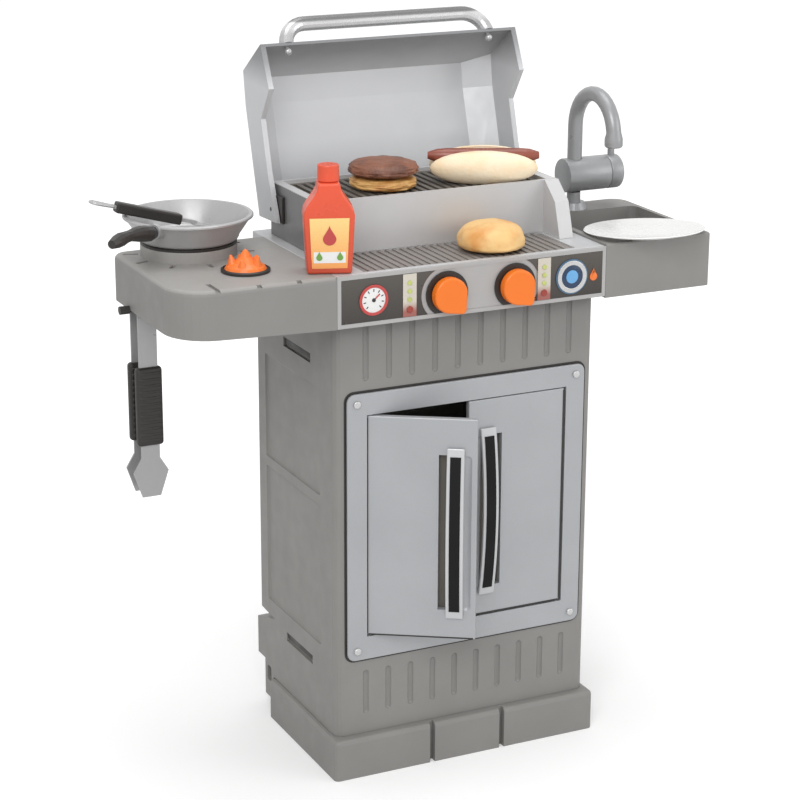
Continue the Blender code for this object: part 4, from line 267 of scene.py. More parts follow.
@dataclass(frozen=True)
class Finish:
    """Moulded plastic with a faint mottle, a fine skin and small changes in its gloss.

    Attributes:
        name: The finish's name.
        colour: Its colour, linear.
        roughness: Its middle roughness.
        spread: How far the roughness wanders.
        mottle: How far the colour wanders.
        mottle_scale: Cells per metre of the wandering colour.
        grain_scale: Cells per metre of the skin.
        grain_depth: The skin's depth in metres.
        metallic: How metallic it is.
        specular: How strongly it mirrors.
        flake: How strongly fine metal flakes show.
    """

    name: str
    colour: Colour
    roughness: float = 0.5
    spread: float = 0.08
    mottle: float = 0.05
    mottle_scale: float = 14.0
    grain_scale: float = 1400.0
    grain_depth: float = 0.00005
    metallic: float = 0.0
    specular: float = 0.5
    flake: float = 0.0

    def tinted(self, graph: Graph) -> Socket:
        """Colour over the surface.

        Args:
            graph: The material's graph.

        Returns:
            The colour's socket.
        """
        dark = tuple(part * (1 - self.mottle) for part in self.colour)
        light = tuple(min(1.0, part * (1 + self.mottle)) for part in self.colour)
        colour = graph.ramp(graph.noise(self.mottle_scale, 4), ((NOISE_LOW, dark), (NOISE_HIGH, light)))
        if self.flake:
            grey = graph.add("ShaderNodeRGBToBW")
            graph.feed(grey, "Color", graph.cells(FLAKE_SCALE).outputs["Color"])
            colour = graph.blend(self.flake, colour, graph.ramp(grey.outputs["Val"], FLAKE_SHADES))
        return colour

    def skin(self, graph: Graph) -> Socket:
        """Normal over the surface.

        Args:
            graph: The material's graph.

        Returns:
            The normal's socket.
        """
        return graph.relief(graph.noise(self.grain_scale, 2), self.grain_depth, SKIN_STRENGTH)

    def build(self) -> bpy.types.Material:
        """Builds the material.

        Returns:
            The material.
        """
        graph = Graph(self.name)
        shader = graph.shader
        graph.feed(shader, "Base Color", self.tinted(graph))
        low, high = max(GLOSS_FLOOR, self.roughness - self.spread), self.roughness + self.spread
        gloss = graph.spread(graph.noise(GLOSS_SCALE, GLOSS_DETAIL), low, high, NOISE_LOW, NOISE_HIGH)
        graph.feed(shader, "Roughness", gloss)
        graph.feed(shader, "Normal", self.skin(graph))
        shader.inputs["Metallic"].default_value = self.metallic
        shader.inputs["Specular IOR Level"].default_value = self.specular
        return graph.material


@dataclass(frozen=True)
class Baked(Finish):
    """Painted play food: a colour that darkens in patches, with small pits.

    Attributes:
        toasted: The colour of the darker patches.
        toast_scale: Patches per metre.
        pit_scale: Pits per metre.
        pit_depth: The pits' depth in metres.
    """

    toasted: Colour = (0.6, 0.3, 0.1)
    toast_scale: float = 30.0
    pit_scale: float = 260.0
    pit_depth: float = 0.0006

    def tinted(self, graph: Graph) -> Socket:
        """Colour over the surface.

        Args:
            graph: The material's graph.

        Returns:
            The colour's socket.
        """
        stops = ((TOAST_LOW, self.toasted), (TOAST_MIDDLE, self.colour), (TOAST_HIGH, self.colour))
        return graph.ramp(graph.noise(self.toast_scale, 6), stops)

    def skin(self, graph: Graph) -> Socket:
        """Normal over the surface.

        Args:
            graph: The material's graph.

        Returns:
            The normal's socket.
        """
        pits = graph.cells(self.pit_scale, "SMOOTH_F1").outputs["Distance"]
        first = graph.relief(pits, self.pit_depth, PIT_STRENGTH)
        return graph.relief(graph.noise(self.grain_scale / 2, 4), self.pit_depth / 4, SKIN_STRENGTH, first)


@dataclass(frozen=True)
class Brushed(Finish):
    """Plain metal pin with fine lines along it."""

    def skin(self, graph: Graph) -> Socket:
        """Normal over the surface.

        Args:
            graph: The material's graph.

        Returns:
            The normal's socket.
        """
        return graph.relief(graph.noise(self.grain_scale, 2, (1, 1, 0.05)), self.grain_depth, PIT_STRENGTH)


@dataclass(frozen=True)
class Film(Finish):
    """Printed film that fades between two colours along an axis.

    Attributes:
        far: The colour at the far end.
        axis: The axis that it fades along.
        start: Where the fade starts.
        end: Where the fade ends.
    """

    far: Colour = (0.5, 0.5, 0.5)
    axis: Axis = Axis.Z
    start: float = 0.0
    end: float = 1.0

    def tinted(self, graph: Graph) -> Socket:
        """Colour over the surface.

        Args:
            graph: The material's graph.

        Returns:
            The colour's socket.
        """
        fade = graph.ramp(graph.along(self.axis, self.start, self.end), ((0.0, self.colour), (1.0, self.far)))
        speckle = graph.ramp(graph.noise(SPECKLE_SCALE, 2), ((NOISE_LOW, SPECKLE_SHADE), (NOISE_HIGH, WHOLE)))
        return graph.blend(1.0, fade, speckle)


@dataclass(frozen=True)
class Shaded(Finish):
    """Plastic with light and shade painted into its colour: it darkens along an axis, as where it faces away
    from the light or lies in shade.

    Attributes:
        axis: The axis that it changes along.
        start: Where the first shade stands.
        end: Where the last shade stands.
        shades: Places from 0 to 1 with how bright the colour is there.
    """

    axis: Axis = Axis.Z
    start: float = 0.0
    end: float = 1.0
    shades: tuple[Flat, ...] = ((0.0, 1.0), (1.0, 1.0))

    def tinted(self, graph: Graph) -> Socket:
        """Colour over the surface.

        Args:
            graph: The material's graph.

        Returns:
            The colour's socket.
        """
        stops = [(place, (share, share, share)) for place, share in self.shades]
        shade = graph.ramp(graph.along(self.axis, self.start, self.end), stops)
        return graph.blend(1.0, super().tinted(graph), shade)


GREY = Finish("warm_grey_plastic", (0.240, 0.233, 0.222), 0.52, mottle=0.04, grain_depth=0.00007)
# Cabinet grey with painted shade: it darkens towards the top, as in the shadow under the control panel.
CABINET_GREY_SHADED_TOP = Shaded("cabinet_grey_painted_shade", (0.240, 0.233, 0.222), 0.52, mottle=0.04, grain_depth=0.00007,
                      start=0.50, end=0.583, shades=((0.0, 1.0), (1.0, 0.80)))
# Shelf grey with painted light: the top face is lighter than the sides, as where the light falls on it.
SHELF_GREY_LIT_TOP = Shaded("shelf_grey_painted_lit_top", (0.345, 0.335, 0.32), 0.52, mottle=0.04, grain_depth=0.00007,
                    start=0.625, end=0.6425, shades=((0.0, 0.695), (0.8, 0.695), (1.0, 1.0)))
DOOR = Finish("door_silver_plastic", (0.40, 0.41, 0.425), 0.40, mottle=0.03, metallic=0.25, flake=0.3)
SILVER = Finish("silver_plastic", (0.56, 0.565, 0.575), 0.38, mottle=0.03, metallic=0.2)
PANEL_SILVER = Finish("panel_silver_plastic", (0.42, 0.415, 0.41), 0.40, mottle=0.03, metallic=0.2,
                      flake=0.3)
BRIGHT = Finish("bright_silver_plastic", (0.60, 0.60, 0.60), 0.28, mottle=0.02, metallic=0.55, flake=0.2)
PAN_SILVER = Finish("pan_silver_plastic", (0.44, 0.44, 0.44), 0.34, metallic=0.35, flake=0.3)
FAUCET_GREY = Finish("faucet_grey_plastic", (0.32, 0.324, 0.33), 0.34, metallic=0.3, flake=0.3)
TONGS_SILVER = Finish("tongs_silver_plastic", (0.36, 0.36, 0.36), 0.34, metallic=0.35)
INK = Finish("handle_ink", (0.006, 0.006, 0.006), 0.55, mottle=0.0, specular=0.2)
RECESS = Finish("recess_plastic", (0.11, 0.10, 0.085), 0.6)
DARK = Finish("dark_grey_plastic", (0.13, 0.115, 0.10), 0.5)
RIBBED = Finish("griddle_plastic", (0.24, 0.22, 0.205), 0.48)
BLACK = Finish("black_plastic", (0.022, 0.019, 0.017), 0.42, mottle=0.12)
ORANGE = Finish("orange_plastic", (0.86, 0.185, 0.012), 0.33, mottle=0.03, grain_depth=0.00002)
GRAPHITE = Film("graphite_film", (0.045, 0.038, 0.033), 0.3, grain_depth=0.00001,
                far=(0.09, 0.08, 0.07), start=0.585, end=0.638)
# Lid silver with painted shade: a little darker low down and much darker near the top, as shade inside the
# open lid.
LID_PAINTED_SHADE = Shaded("lid_silver_painted_shade", (0.62, 0.63, 0.645), 0.38, mottle=0.02, metallic=0.15, start=0.70,
             end=0.88, shades=((0.0, 0.8), (0.25, 1.0), (0.70, 1.0), (0.88, 0.50), (1.0, 0.36)))
# Box silver with painted shade: the left side, facing away from the light, is darkened to about a third.
BOX_SILVER_SHADED_SIDE = Shaded("box_silver_painted_side_shade", (0.57, 0.57, 0.575), 0.38, mottle=0.03, metallic=0.2,
                    axis=Axis.X, start=-0.1642, end=-0.1602, shades=((0.0, 0.34), (0.3, 0.34), (0.6, 1.0)))
# Handle bar silver with a painted highlight and painted shade across the tube: a light band, dark above and a
# little darker below.
BAR_PAINTED_SHEEN = Shaded("bar_silver_painted_sheen", (0.62, 0.62, 0.63), 0.26, mottle=0.02, metallic=0.4, start=0.8866,
             end=0.9046, shades=((0.0, 0.75), (0.35, 1.0), (0.62, 1.0), (0.74, 0.34), (1.0, 0.26)))
STEEL = Brushed("steel_pin", (0.55, 0.55, 0.55), 0.3, metallic=1.0, grain_scale=900.0, grain_depth=0.00003)
# Bottle red with painted shade: darker towards the bottom and a little darker at the top.
RED_SHADED_LOW = Shaded("bottle_red", (0.80, 0.10, 0.042), 0.30, mottle=0.04, grain_depth=0.00002, start=0.643,
             end=0.775, shades=((0.0, 0.72), (0.55, 0.92), (0.8, 1.0), (1.0, 0.92)))
LABEL = Film("label_film", (0.90, 0.36, 0.10), 0.35, grain_depth=0.00001, far=(0.93, 0.66, 0.25),
             start=0.65, end=0.709)
LIGHTS = Film("indicator_film", (0.35, 0.12, 0.10), 0.35, grain_depth=0.00001, far=(0.62, 0.58, 0.50),
              start=0.592, end=0.604)
DIAL = Finish("dial_film", (0.08, 0.16, 0.26), 0.35, grain_depth=0.00001)
BREAD = Baked("painted_bun", (0.82, 0.53, 0.22), 0.5, toasted=(0.70, 0.33, 0.09))
CREAM = Baked("painted_long_bun", (0.93, 0.79, 0.58), 0.5, toasted=(0.91, 0.70, 0.44))
GOLDEN = Baked("painted_lower_bun", (0.78, 0.46, 0.16), 0.45, toasted=(0.52, 0.21, 0.05), toast_scale=60.0)
MEAT = Baked("painted_patty", (0.26, 0.10, 0.055), 0.45, toasted=(0.10, 0.035, 0.02), pit_scale=330.0,
             pit_depth=0.0012)
SAUSAGE = Finish("sausage_plastic", (0.25, 0.065, 0.04), 0.30, mottle=0.15, mottle_scale=60.0)
GREEN_LIGHT = Finish("green_light", (0.50, 0.56, 0.16), 0.25, mottle=0.10, mottle_scale=200.0)
RED_LIGHT = Finish("red_light", (0.32, 0.05, 0.035), 0.25, mottle=0.10, mottle_scale=200.0)
DEEP_BLUE = Finish("deep_blue_print", (0.02, 0.045, 0.10), 0.3, grain_depth=0.00001)
SKY_BLUE = Finish("sky_blue_print", (0.14, 0.38, 0.68), 0.3, grain_depth=0.00001)
RED_PRINT = Finish("red_print", (0.50, 0.06, 0.055), 0.35, grain_depth=0.00001)
LEAF_PRINT = Finish("leaf_print", (0.16, 0.34, 0.06), 0.35, grain_depth=0.00001)
WHITE = Finish("plate_white", (0.78, 0.78, 0.77), 0.25, mottle=0.01, grain_depth=0.00001)
FLAME = Finish("flame_orange", (0.90, 0.20, 0.03), 0.35, mottle=0.10, mottle_scale=60.0)

FINISH_NODES: dict[Finish, tuple[str, ...]] = {
    GREY: ("base_plinth", "back_panel", "storage_floor", "sink_shelf"),
    CABINET_GREY_SHADED_TOP: ("cabinet_body",),
    SHELF_GREY_LIT_TOP: ("left_shelf",),
    DOOR: ("door_frame", "left_door", "right_door"),
    SILVER: ("left_door_handle", "right_door_handle", "deck"),
    STEEL: ("left_door_pin_top", "left_door_pin_bottom", "right_door_pin_top", "right_door_pin_bottom"),
    PANEL_SILVER: ("control_panel",),
    GRAPHITE: ("left_panel_plate", "right_panel_plate"),
    LIGHTS: ("left_indicator", "right_indicator"),
    DIAL: ("igniter_dial",),
    ORANGE: ("left_knob", "right_knob"),
    BLACK: ("left_knob_ring", "right_knob_ring", "left_lid_hinge", "right_lid_hinge", "burner_ring",
            "burner_disc", "utensil_peg", "pan_handle", "spatula_grip", "tongs_front_grip",
            "tongs_rear_grip"),
    RIBBED: ("griddle",),
    BOX_SILVER_SHADED_SIDE: ("grill_box",),
    DARK: ("grate",),
    LID_PAINTED_SHADE: ("lid_shell",),
    BAR_PAINTED_SHEEN: ("lid_handle",),
    FLAME: ("burner_flames",),
    FAUCET_GREY: ("faucet_base", "faucet_body", "faucet_spout", "faucet_handle"),
    PAN_SILVER: ("pan_body", "spatula_blade"),
    TONGS_SILVER: ("tongs_bend", "tongs_front_arm", "tongs_rear_arm"),
    RED_SHADED_LOW: ("sauce_bottle", "bottle_cap"),
    LABEL: ("bottle_label",),
    BREAD: ("bun_top",),
    GOLDEN: ("bun_bottom",),
    MEAT: ("burger_patty",),
    CREAM: ("hot_dog_bun",),
    SAUSAGE: ("sausage",),
    WHITE: ("plate",),
}


@lru_cache(maxsize=None)
def material_of(finish: Finish) -> bpy.types.Material:
    """Material of a finish, built once."""
    return finish.build()


@dataclass
class Studio:
    """Floor, lights, world and camera.

    Attributes:
        aim: The point in the middle of the picture.
        yaw: The camera's turn round the object, in degrees.
        pitch: How far it looks down, in degrees.
        roll: How far it leans, in degrees.
        distance: The camera's distance from the point.
        lens: Its focal length in millimetres.
        sensor: The width in millimetres that the focal length is for.
        reach: How far the camera sees.
        floor_size: The floor's width.
        floor_shade: The floor's brightness in the lights.
        floor_roughness: Its roughness.
        world_light: The world's strength on the object.
        near_glow: How much the floor glows to the camera under the object.
        far_glow: How much it glows far away, where the lights don't reach.
        glow_span: Distances where the glow starts to grow and where it is full.
        middle: The point that the lights face.
        lights: Each light's place, size and power.
    """

    aim: Point = (-0.0901, -0.120, 0.4787)
    yaw: float = 25.823
    pitch: float = 17.546
    roll: float = 0.225
    distance: float = 2.7494
    lens: float = 103.82
    sensor: float = 36.0
    reach: float = 100.0
    floor_size: float = 60.0
    floor_shade: float = 0.86
    floor_roughness: float = 0.9
    world_light: float = 0.62
    near_glow: float = 0.20
    far_glow: float = 0.50
    glow_span: Flat = (0.4, 1.8)
    middle: Point = (0, 0, 0.45)
    lights: dict[Stage, tuple[Point, float, float]] = field(default_factory=lambda: {
        Stage.KEY: ((-2.2, -3.2, 3.4), 2.6, 90.0),
        Stage.FILL: ((2.8, -2.4, 1.6), 2.4, 24.0),
        Stage.TOP: ((0.2, 0.2, 3.6), 2.4, 34.0),
    })

    def camera(self) -> None:
        """Places the camera."""
        yaw, pitch, roll = (math.radians(angle) for angle in (self.yaw, self.pitch, self.roll))
        ahead = Vector((math.sin(yaw) * math.cos(pitch), math.cos(yaw) * math.cos(pitch), -math.sin(pitch)))
        across = Vector((math.cos(yaw), -math.sin(yaw), 0))
        upward = across.cross(ahead)
        right = across * math.cos(roll) + upward * math.sin(roll)
        up = upward * math.cos(roll) - across * math.sin(roll)
        data = bpy.data.cameras.new("camera")
        data.lens = self.lens
        data.sensor_width = self.sensor
        data.clip_end = self.reach
        holder = bpy.data.objects.new("camera", data)
        bpy.context.scene.collection.objects.link(holder)
        facing = Matrix((right, up, -ahead)).transposed().to_4x4()
        holder.matrix_world = Matrix.Translation(Vector(self.aim) - ahead * self.distance) @ facing
        bpy.context.scene.camera = holder

    def lamp(self, stage: Stage) -> None:
        """Adds one soft light.

        Args:
            stage: The light's place.
        """
        place, size, power = self.lights[stage]
        data = bpy.data.lights.new(f"{stage.value}_light", "AREA")
        data.shape = "DISK"
        data.size = size
        data.energy = power
        holder = bpy.data.objects.new(f"{stage.value}_light", data)
        bpy.context.scene.collection.objects.link(holder)
        facing = (Vector(self.middle) - Vector(place)).to_track_quat("-Z", "Y").to_matrix().to_4x4()
        holder.matrix_world = Matrix.Translation(Vector(place)) @ facing

    def world(self) -> None:
        """Makes the world white to the camera and plain to the object."""
        world = bpy.data.worlds.new("studio")
        bpy.context.scene.world = world
        world.use_nodes = True
        tree = world.node_tree
        tree.nodes.clear()
        light, white, path, seen, mix, out = (tree.nodes.new(f"ShaderNode{kind}") for kind in (
            "Background", "Background", "LightPath", "Math", "MixShader", "OutputWorld"))
        for background, strength in ((light, self.world_light), (white, 1.0)):
            background.inputs["Color"].default_value = (*WHOLE, 1)
            background.inputs["Strength"].default_value = strength
        seen.operation = "MAXIMUM"
        tree.links.new(path.outputs["Is Camera Ray"], seen.inputs[0])
        tree.links.new(path.outputs["Is Glossy Ray"], seen.inputs[1])
        tree.links.new(seen.outputs[0], mix.inputs["Fac"])
        tree.links.new(light.outputs[0], mix.inputs[1])
        tree.links.new(white.outputs[0], mix.inputs[2])
        tree.links.new(mix.outputs[0], out.inputs["Surface"])

    def floor(self) -> None:
        """Adds the pale floor, which keeps the object's shadow."""
        shape = bmesh.new()
        bmesh.ops.create_grid(shape, x_segments=1, y_segments=1, size=self.floor_size / 2)
        piece = as_object("floor", shape)
        graph = Graph("floor_white")
        graph.shader.inputs["Base Color"].default_value = (*(self.floor_shade,) * 3, 1)
        graph.shader.inputs["Roughness"].default_value = self.floor_roughness
        graph.shader.inputs["Specular IOR Level"].default_value = 0.0
        away = graph.add("ShaderNodeVectorMath", operation="LENGTH")
        graph.feed(away, 0, graph.place)
        strength = graph.add("ShaderNodeMath", operation="MULTIPLY")
        graph.feed(strength, 0, graph.add("ShaderNodeLightPath").outputs["Is Camera Ray"])
        glowing = graph.spread(away.outputs["Value"], self.near_glow, self.far_glow, *self.glow_span)
        graph.feed(strength, 1, glowing)
        glow = graph.add("ShaderNodeEmission")
        graph.feed(glow, "Color", (*WHOLE, 1))
        graph.feed(glow, "Strength", strength.outputs["Value"])
        added = graph.add("ShaderNodeAddShader")
        graph.feed(added, 0, graph.shader.outputs["BSDF"])
        graph.feed(added, 1, glow.outputs["Emission"])
        graph.feed(graph.tree.nodes["Material Output"], "Surface", added.outputs["Shader"])
        piece.data.materials.append(graph.material)

    def build(self) -> None:
        """Sets the whole studio up."""
        bpy.context.scene.view_settings.view_transform = "Standard"
        self.world()
        self.floor()
        for stage in Stage:
            self.lamp(stage)
        self.camera()
        LOG.info("studio ready")


def as_object(name: str, shape: Shape) -> bpy.types.Object:
    """Turns a bmesh into a linked object.

    Args:
        name: The object's name.
        shape: The bmesh, which is freed.

    Returns:
        The object.
    """
    mesh = bpy.data.meshes.new(name)
    shape.to_mesh(mesh)
    shape.free()
    made = bpy.data.objects.new(name, mesh)
    bpy.context.scene.collection.objects.link(made)
    return made


def move(shape: Shape, way: Sequence[float]) -> None:
    """Moves a whole shape."""
    bmesh.ops.translate(shape, vec=Vector(way), verts=shape.verts)


def turn(shape: Shape, angle: float, axis: str, centre: Sequence[float] = (0, 0, 0)) -> None:
    """Turns a whole shape round an axis through a point, by an angle in radians."""
    bmesh.ops.rotate(shape, cent=Vector(centre), matrix=Matrix.Rotation(angle, 3, axis), verts=shape.verts)


def ease(shape: Shape, geom: list, width: float, affect: str = "EDGES", segments: int = 2) -> None:
    """Rounds edges or corners.

    Args:
        shape: The shape.
        geom: The edges or corners.
        width: The bevel's width.
        affect: EDGES or VERTICES.
        segments: How many steps the bevel has.
    """
    bmesh.ops.bevel(shape, geom=geom, offset=width, segments=segments, profile=0.5, affect=affect,
                    material=-1)


def sheet(size: Point) -> Shape:
    """Flat rectangle round the origin.

    Args:
        size: Its size along X and Y, and 1.

    Returns:
        The bmesh.
    """
    shape = bmesh.new()
    bmesh.ops.create_grid(shape, x_segments=1, y_segments=1, size=0.5)
    bmesh.ops.scale(shape, vec=Vector(size), verts=shape.verts)
    return shape


def slab(size: Point, middle: Point, edge: float) -> Shape:
    """Block with bevelled edges.

    Args:
        size: Its size along X, Y and Z.
        middle: Its middle.
        edge: The bevel's width.

    Returns:
        The bmesh.
    """
    shape = bmesh.new()
    bmesh.ops.create_cube(shape, size=1)
    bmesh.ops.scale(shape, vec=Vector(size), verts=shape.verts)
    ease(shape, shape.edges[:], edge)
    move(shape, middle)
    return shape


def button(radius: float, thickness: float, middle: Point, point: float = 0.0) -> Shape:
    """Round button that faces the front, drawn out to a point above for a drop or a leaf.

    Args:
        radius: Its radius.
        thickness: How far it stands out.
        middle: The middle of its back.
        point: How far its top is drawn out, as a share of the radius.

    Returns:
        The bmesh.
    """
    rim_share = 0.4
    shape = bmesh.new()
    bmesh.ops.create_circle(shape, cap_ends=True, segments=32, radius=radius)
    for vert in shape.verts:
        rise = max(0.0, vert.co.y / radius)
        vert.co.x *= 1 - rise * rise * min(1.0, point)
        vert.co.y += rise * rise * radius * point
    grown = bmesh.ops.extrude_face_region(shape, geom=shape.faces[:])
    top = [item for item in grown["geom"] if isinstance(item, bmesh.types.BMVert)]
    bmesh.ops.translate(shape, vec=Vector((0, 0, thickness)), verts=top)
    rim = [edge for edge in shape.edges if all(vert.co.z > thickness / 2 for vert in edge.verts)]
    ease(shape, rim, thickness * rim_share)
    turn(shape, math.pi / 2, "X")
    move(shape, middle)
    bmesh.ops.recalc_face_normals(shape, faces=shape.faces)
    return shape


def hoop(inner: float, outer: float, thickness: float, middle: Point) -> Shape:
    """Flat ring that faces the front.

    Args:
        inner: Its inner radius.
        outer: Its outer radius.
        thickness: How far it stands out.
        middle: The middle of its back.

    Returns:
        The bmesh.
    """
    corner_share = 0.3
    shape = sheet((outer - inner, thickness, 1))
    ease(shape, shape.verts[:], thickness * corner_share, "VERTICES")
    move(shape, ((inner + outer) / 2, -thickness / 2, 0))
    bmesh.ops.delete(shape, geom=shape.faces[:], context="FACES_ONLY")
    bmesh.ops.spin(shape, geom=shape.edges[:], cent=Vector(), axis=Vector((0, 1, 0)), angle=TURN, steps=56,
                   use_merge=True)
    move(shape, middle)
    bmesh.ops.recalc_face_normals(shape, faces=shape.faces)
    return shape


def place_piece(name: str, shape: Shape, finish: Finish, body: str, smooth: bool = True) -> bpy.types.Object:
    """Makes a finished piece ride on a body.

    Args:
        name: The piece's name.
        shape: Its bmesh.
        finish: Its finish.
        body: The body's name.
        smooth: Whether it is shaded smooth.

    Returns:
        The piece.
    """
    for face in shape.faces:
        face.smooth = smooth
    piece = as_object(name, shape)
    piece.data.materials.append(material_of(finish))
    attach(piece, body)
    return piece


@dataclass
class Panel:
    """Prints and lights of the control panel.

    Attributes:
        face: Depth of the dark plates' front.
        strips: Places across of the two light strips.
        strip_rise: How far the strips stand out from the plates.
        lights: Heights of the green lights.
        red_height: Height of the red light.
        light_radii: Radius of a green light and of the red one.
        light_depth: How far lights and prints stand out.
        dial: Place and height of the round dial.
        dial_rise: How far the dial stands out from its plate.
        dial_rim: The dial rim's inner and outer radius and its thickness.
        dial_fields: Radius of the dark field and of the light one.
        flame: Way from the dial's middle to the flame, its radius and its point.
        gauge: Place and height of the gauge on the left plate.
        gauge_rim: The gauge rim's inner and outer radius and its thickness.
        gauge_face: Radius and thickness of the gauge's face.
        gauge_hub: Radius and thickness of its hub.
        ticks: How many marks the gauge has.
        tick_sweep: Where the marks start and how far they go, in half turns.
        tick: Size of a mark.
        tick_radius: The marks' distance from the gauge's middle.
        tick_rise: How far a mark's middle stands out.
        needle: Size of the needle.
        needle_middle: Height of its middle over the gauge's middle.
        needle_rise: How far its middle stands out.
        needle_turn: Its turn from upright, in degrees.
    """

    face: float = -0.1371
    strips: Flat = (-0.0865, 0.0930)
    strip_rise: float = 0.0011
    lights: Point = (0.6065, 0.6165, 0.6265)
    red_height: float = 0.5945
    light_radii: Flat = (0.0029, 0.0042)
    light_depth: float = 0.0008
    dial: Flat = (0.131, 0.6105)
    dial_rise: float = 0.0016
    dial_rim: Point = (0.0145, 0.0200, 0.0010)
    dial_fields: Flat = (0.0143, 0.0082)
    flame: tuple[float, float, float, float] = (0.0305, -0.003, 0.0052, 1.1)
    gauge: Flat = (-0.133, 0.611)
    gauge_rim: Point = (0.0150, 0.0185, 0.0012)
    gauge_face: Flat = (0.0152, 0.0006)
    gauge_hub: Flat = (0.0024, 0.0016)
    ticks: int = 9
    tick_sweep: Flat = (1.25, 1.5)
    tick: Point = (0.0032, 0.0005, 0.0011)
    tick_radius: float = 0.0118
    tick_rise: float = 0.0007
    needle: Point = (0.0016, 0.0006, 0.0115)
    needle_middle: float = 0.0045
    needle_rise: float = 0.0010
    needle_turn: float = 48.0

    def strip(self, index: int, middle: float) -> None:
        """Puts the lights on one strip.

        Args:
            index: The strip's number.
            middle: Its place across.
        """
        front = self.face - self.strip_rise
        green, red = self.light_radii
        for number, height in enumerate(self.lights):
            light = button(green, self.light_depth, (middle, front, height))
            place_piece(f"strip_{index}_light_{number}", light, GREEN_LIGHT, "root")
        light = button(red, self.light_depth, (middle, front, self.red_height))
        place_piece(f"strip_{index}_red_light", light, RED_LIGHT, "root")

    def round_dial(self) -> None:
        """Puts the rings and the flame beside them on the right plate."""
        x, z = self.dial
        middle = (x, self.face - self.dial_rise, z)
        dark, light = self.dial_fields
        place_piece("dial_rim", hoop(*self.dial_rim, middle), BRIGHT, "root")
        place_piece("dial_dark", button(dark, self.light_depth / 2, middle), DEEP_BLUE, "root")
        place_piece("dial_light", button(light, self.light_depth, middle), SKY_BLUE, "root")
        across, up, radius, point = self.flame
        flame = button(radius, self.light_depth, (x + across, self.face - SLIP, z + up), point)
        place_piece("dial_flame", flame, FLAME, "root")

    def round_gauge(self) -> None:
        """Puts a plain heat gauge on the left plate."""
        x, z = self.gauge
        middle = Vector((x, self.face - SLIP, z))
        edge = SLIP / 3
        start, sweep = self.tick_sweep
        place_piece("gauge_rim", hoop(*self.gauge_rim, middle), RED_PRINT, "root")
        place_piece("gauge_face", button(*self.gauge_face, middle), WHITE, "root")
        for index in range(self.ticks):
            angle = math.pi * (start - sweep * index / (self.ticks - 1))
            tick = slab(self.tick, (self.tick_radius, 0, 0), edge)
            turn(tick, -angle, "Y")
            move(tick, middle - Vector((0, self.tick_rise, 0)))
            place_piece(f"gauge_tick_{index}", tick, BLACK, "root")
        needle = slab(self.needle, (0, 0, self.needle_middle), 2 * edge)
        turn(needle, math.radians(self.needle_turn), "Y")
        move(needle, middle - Vector((0, self.needle_rise, 0)))
        place_piece("gauge_needle", needle, RED_PRINT, "root")
        place_piece("gauge_hub", button(*self.gauge_hub, middle), BLACK, "root")

    def build(self) -> None:
        """Builds all prints and lights."""
        for index, middle in enumerate(self.strips):
            self.strip(index, middle)
        self.round_dial()
        self.round_gauge()
        LOG.info("control panel dressed")


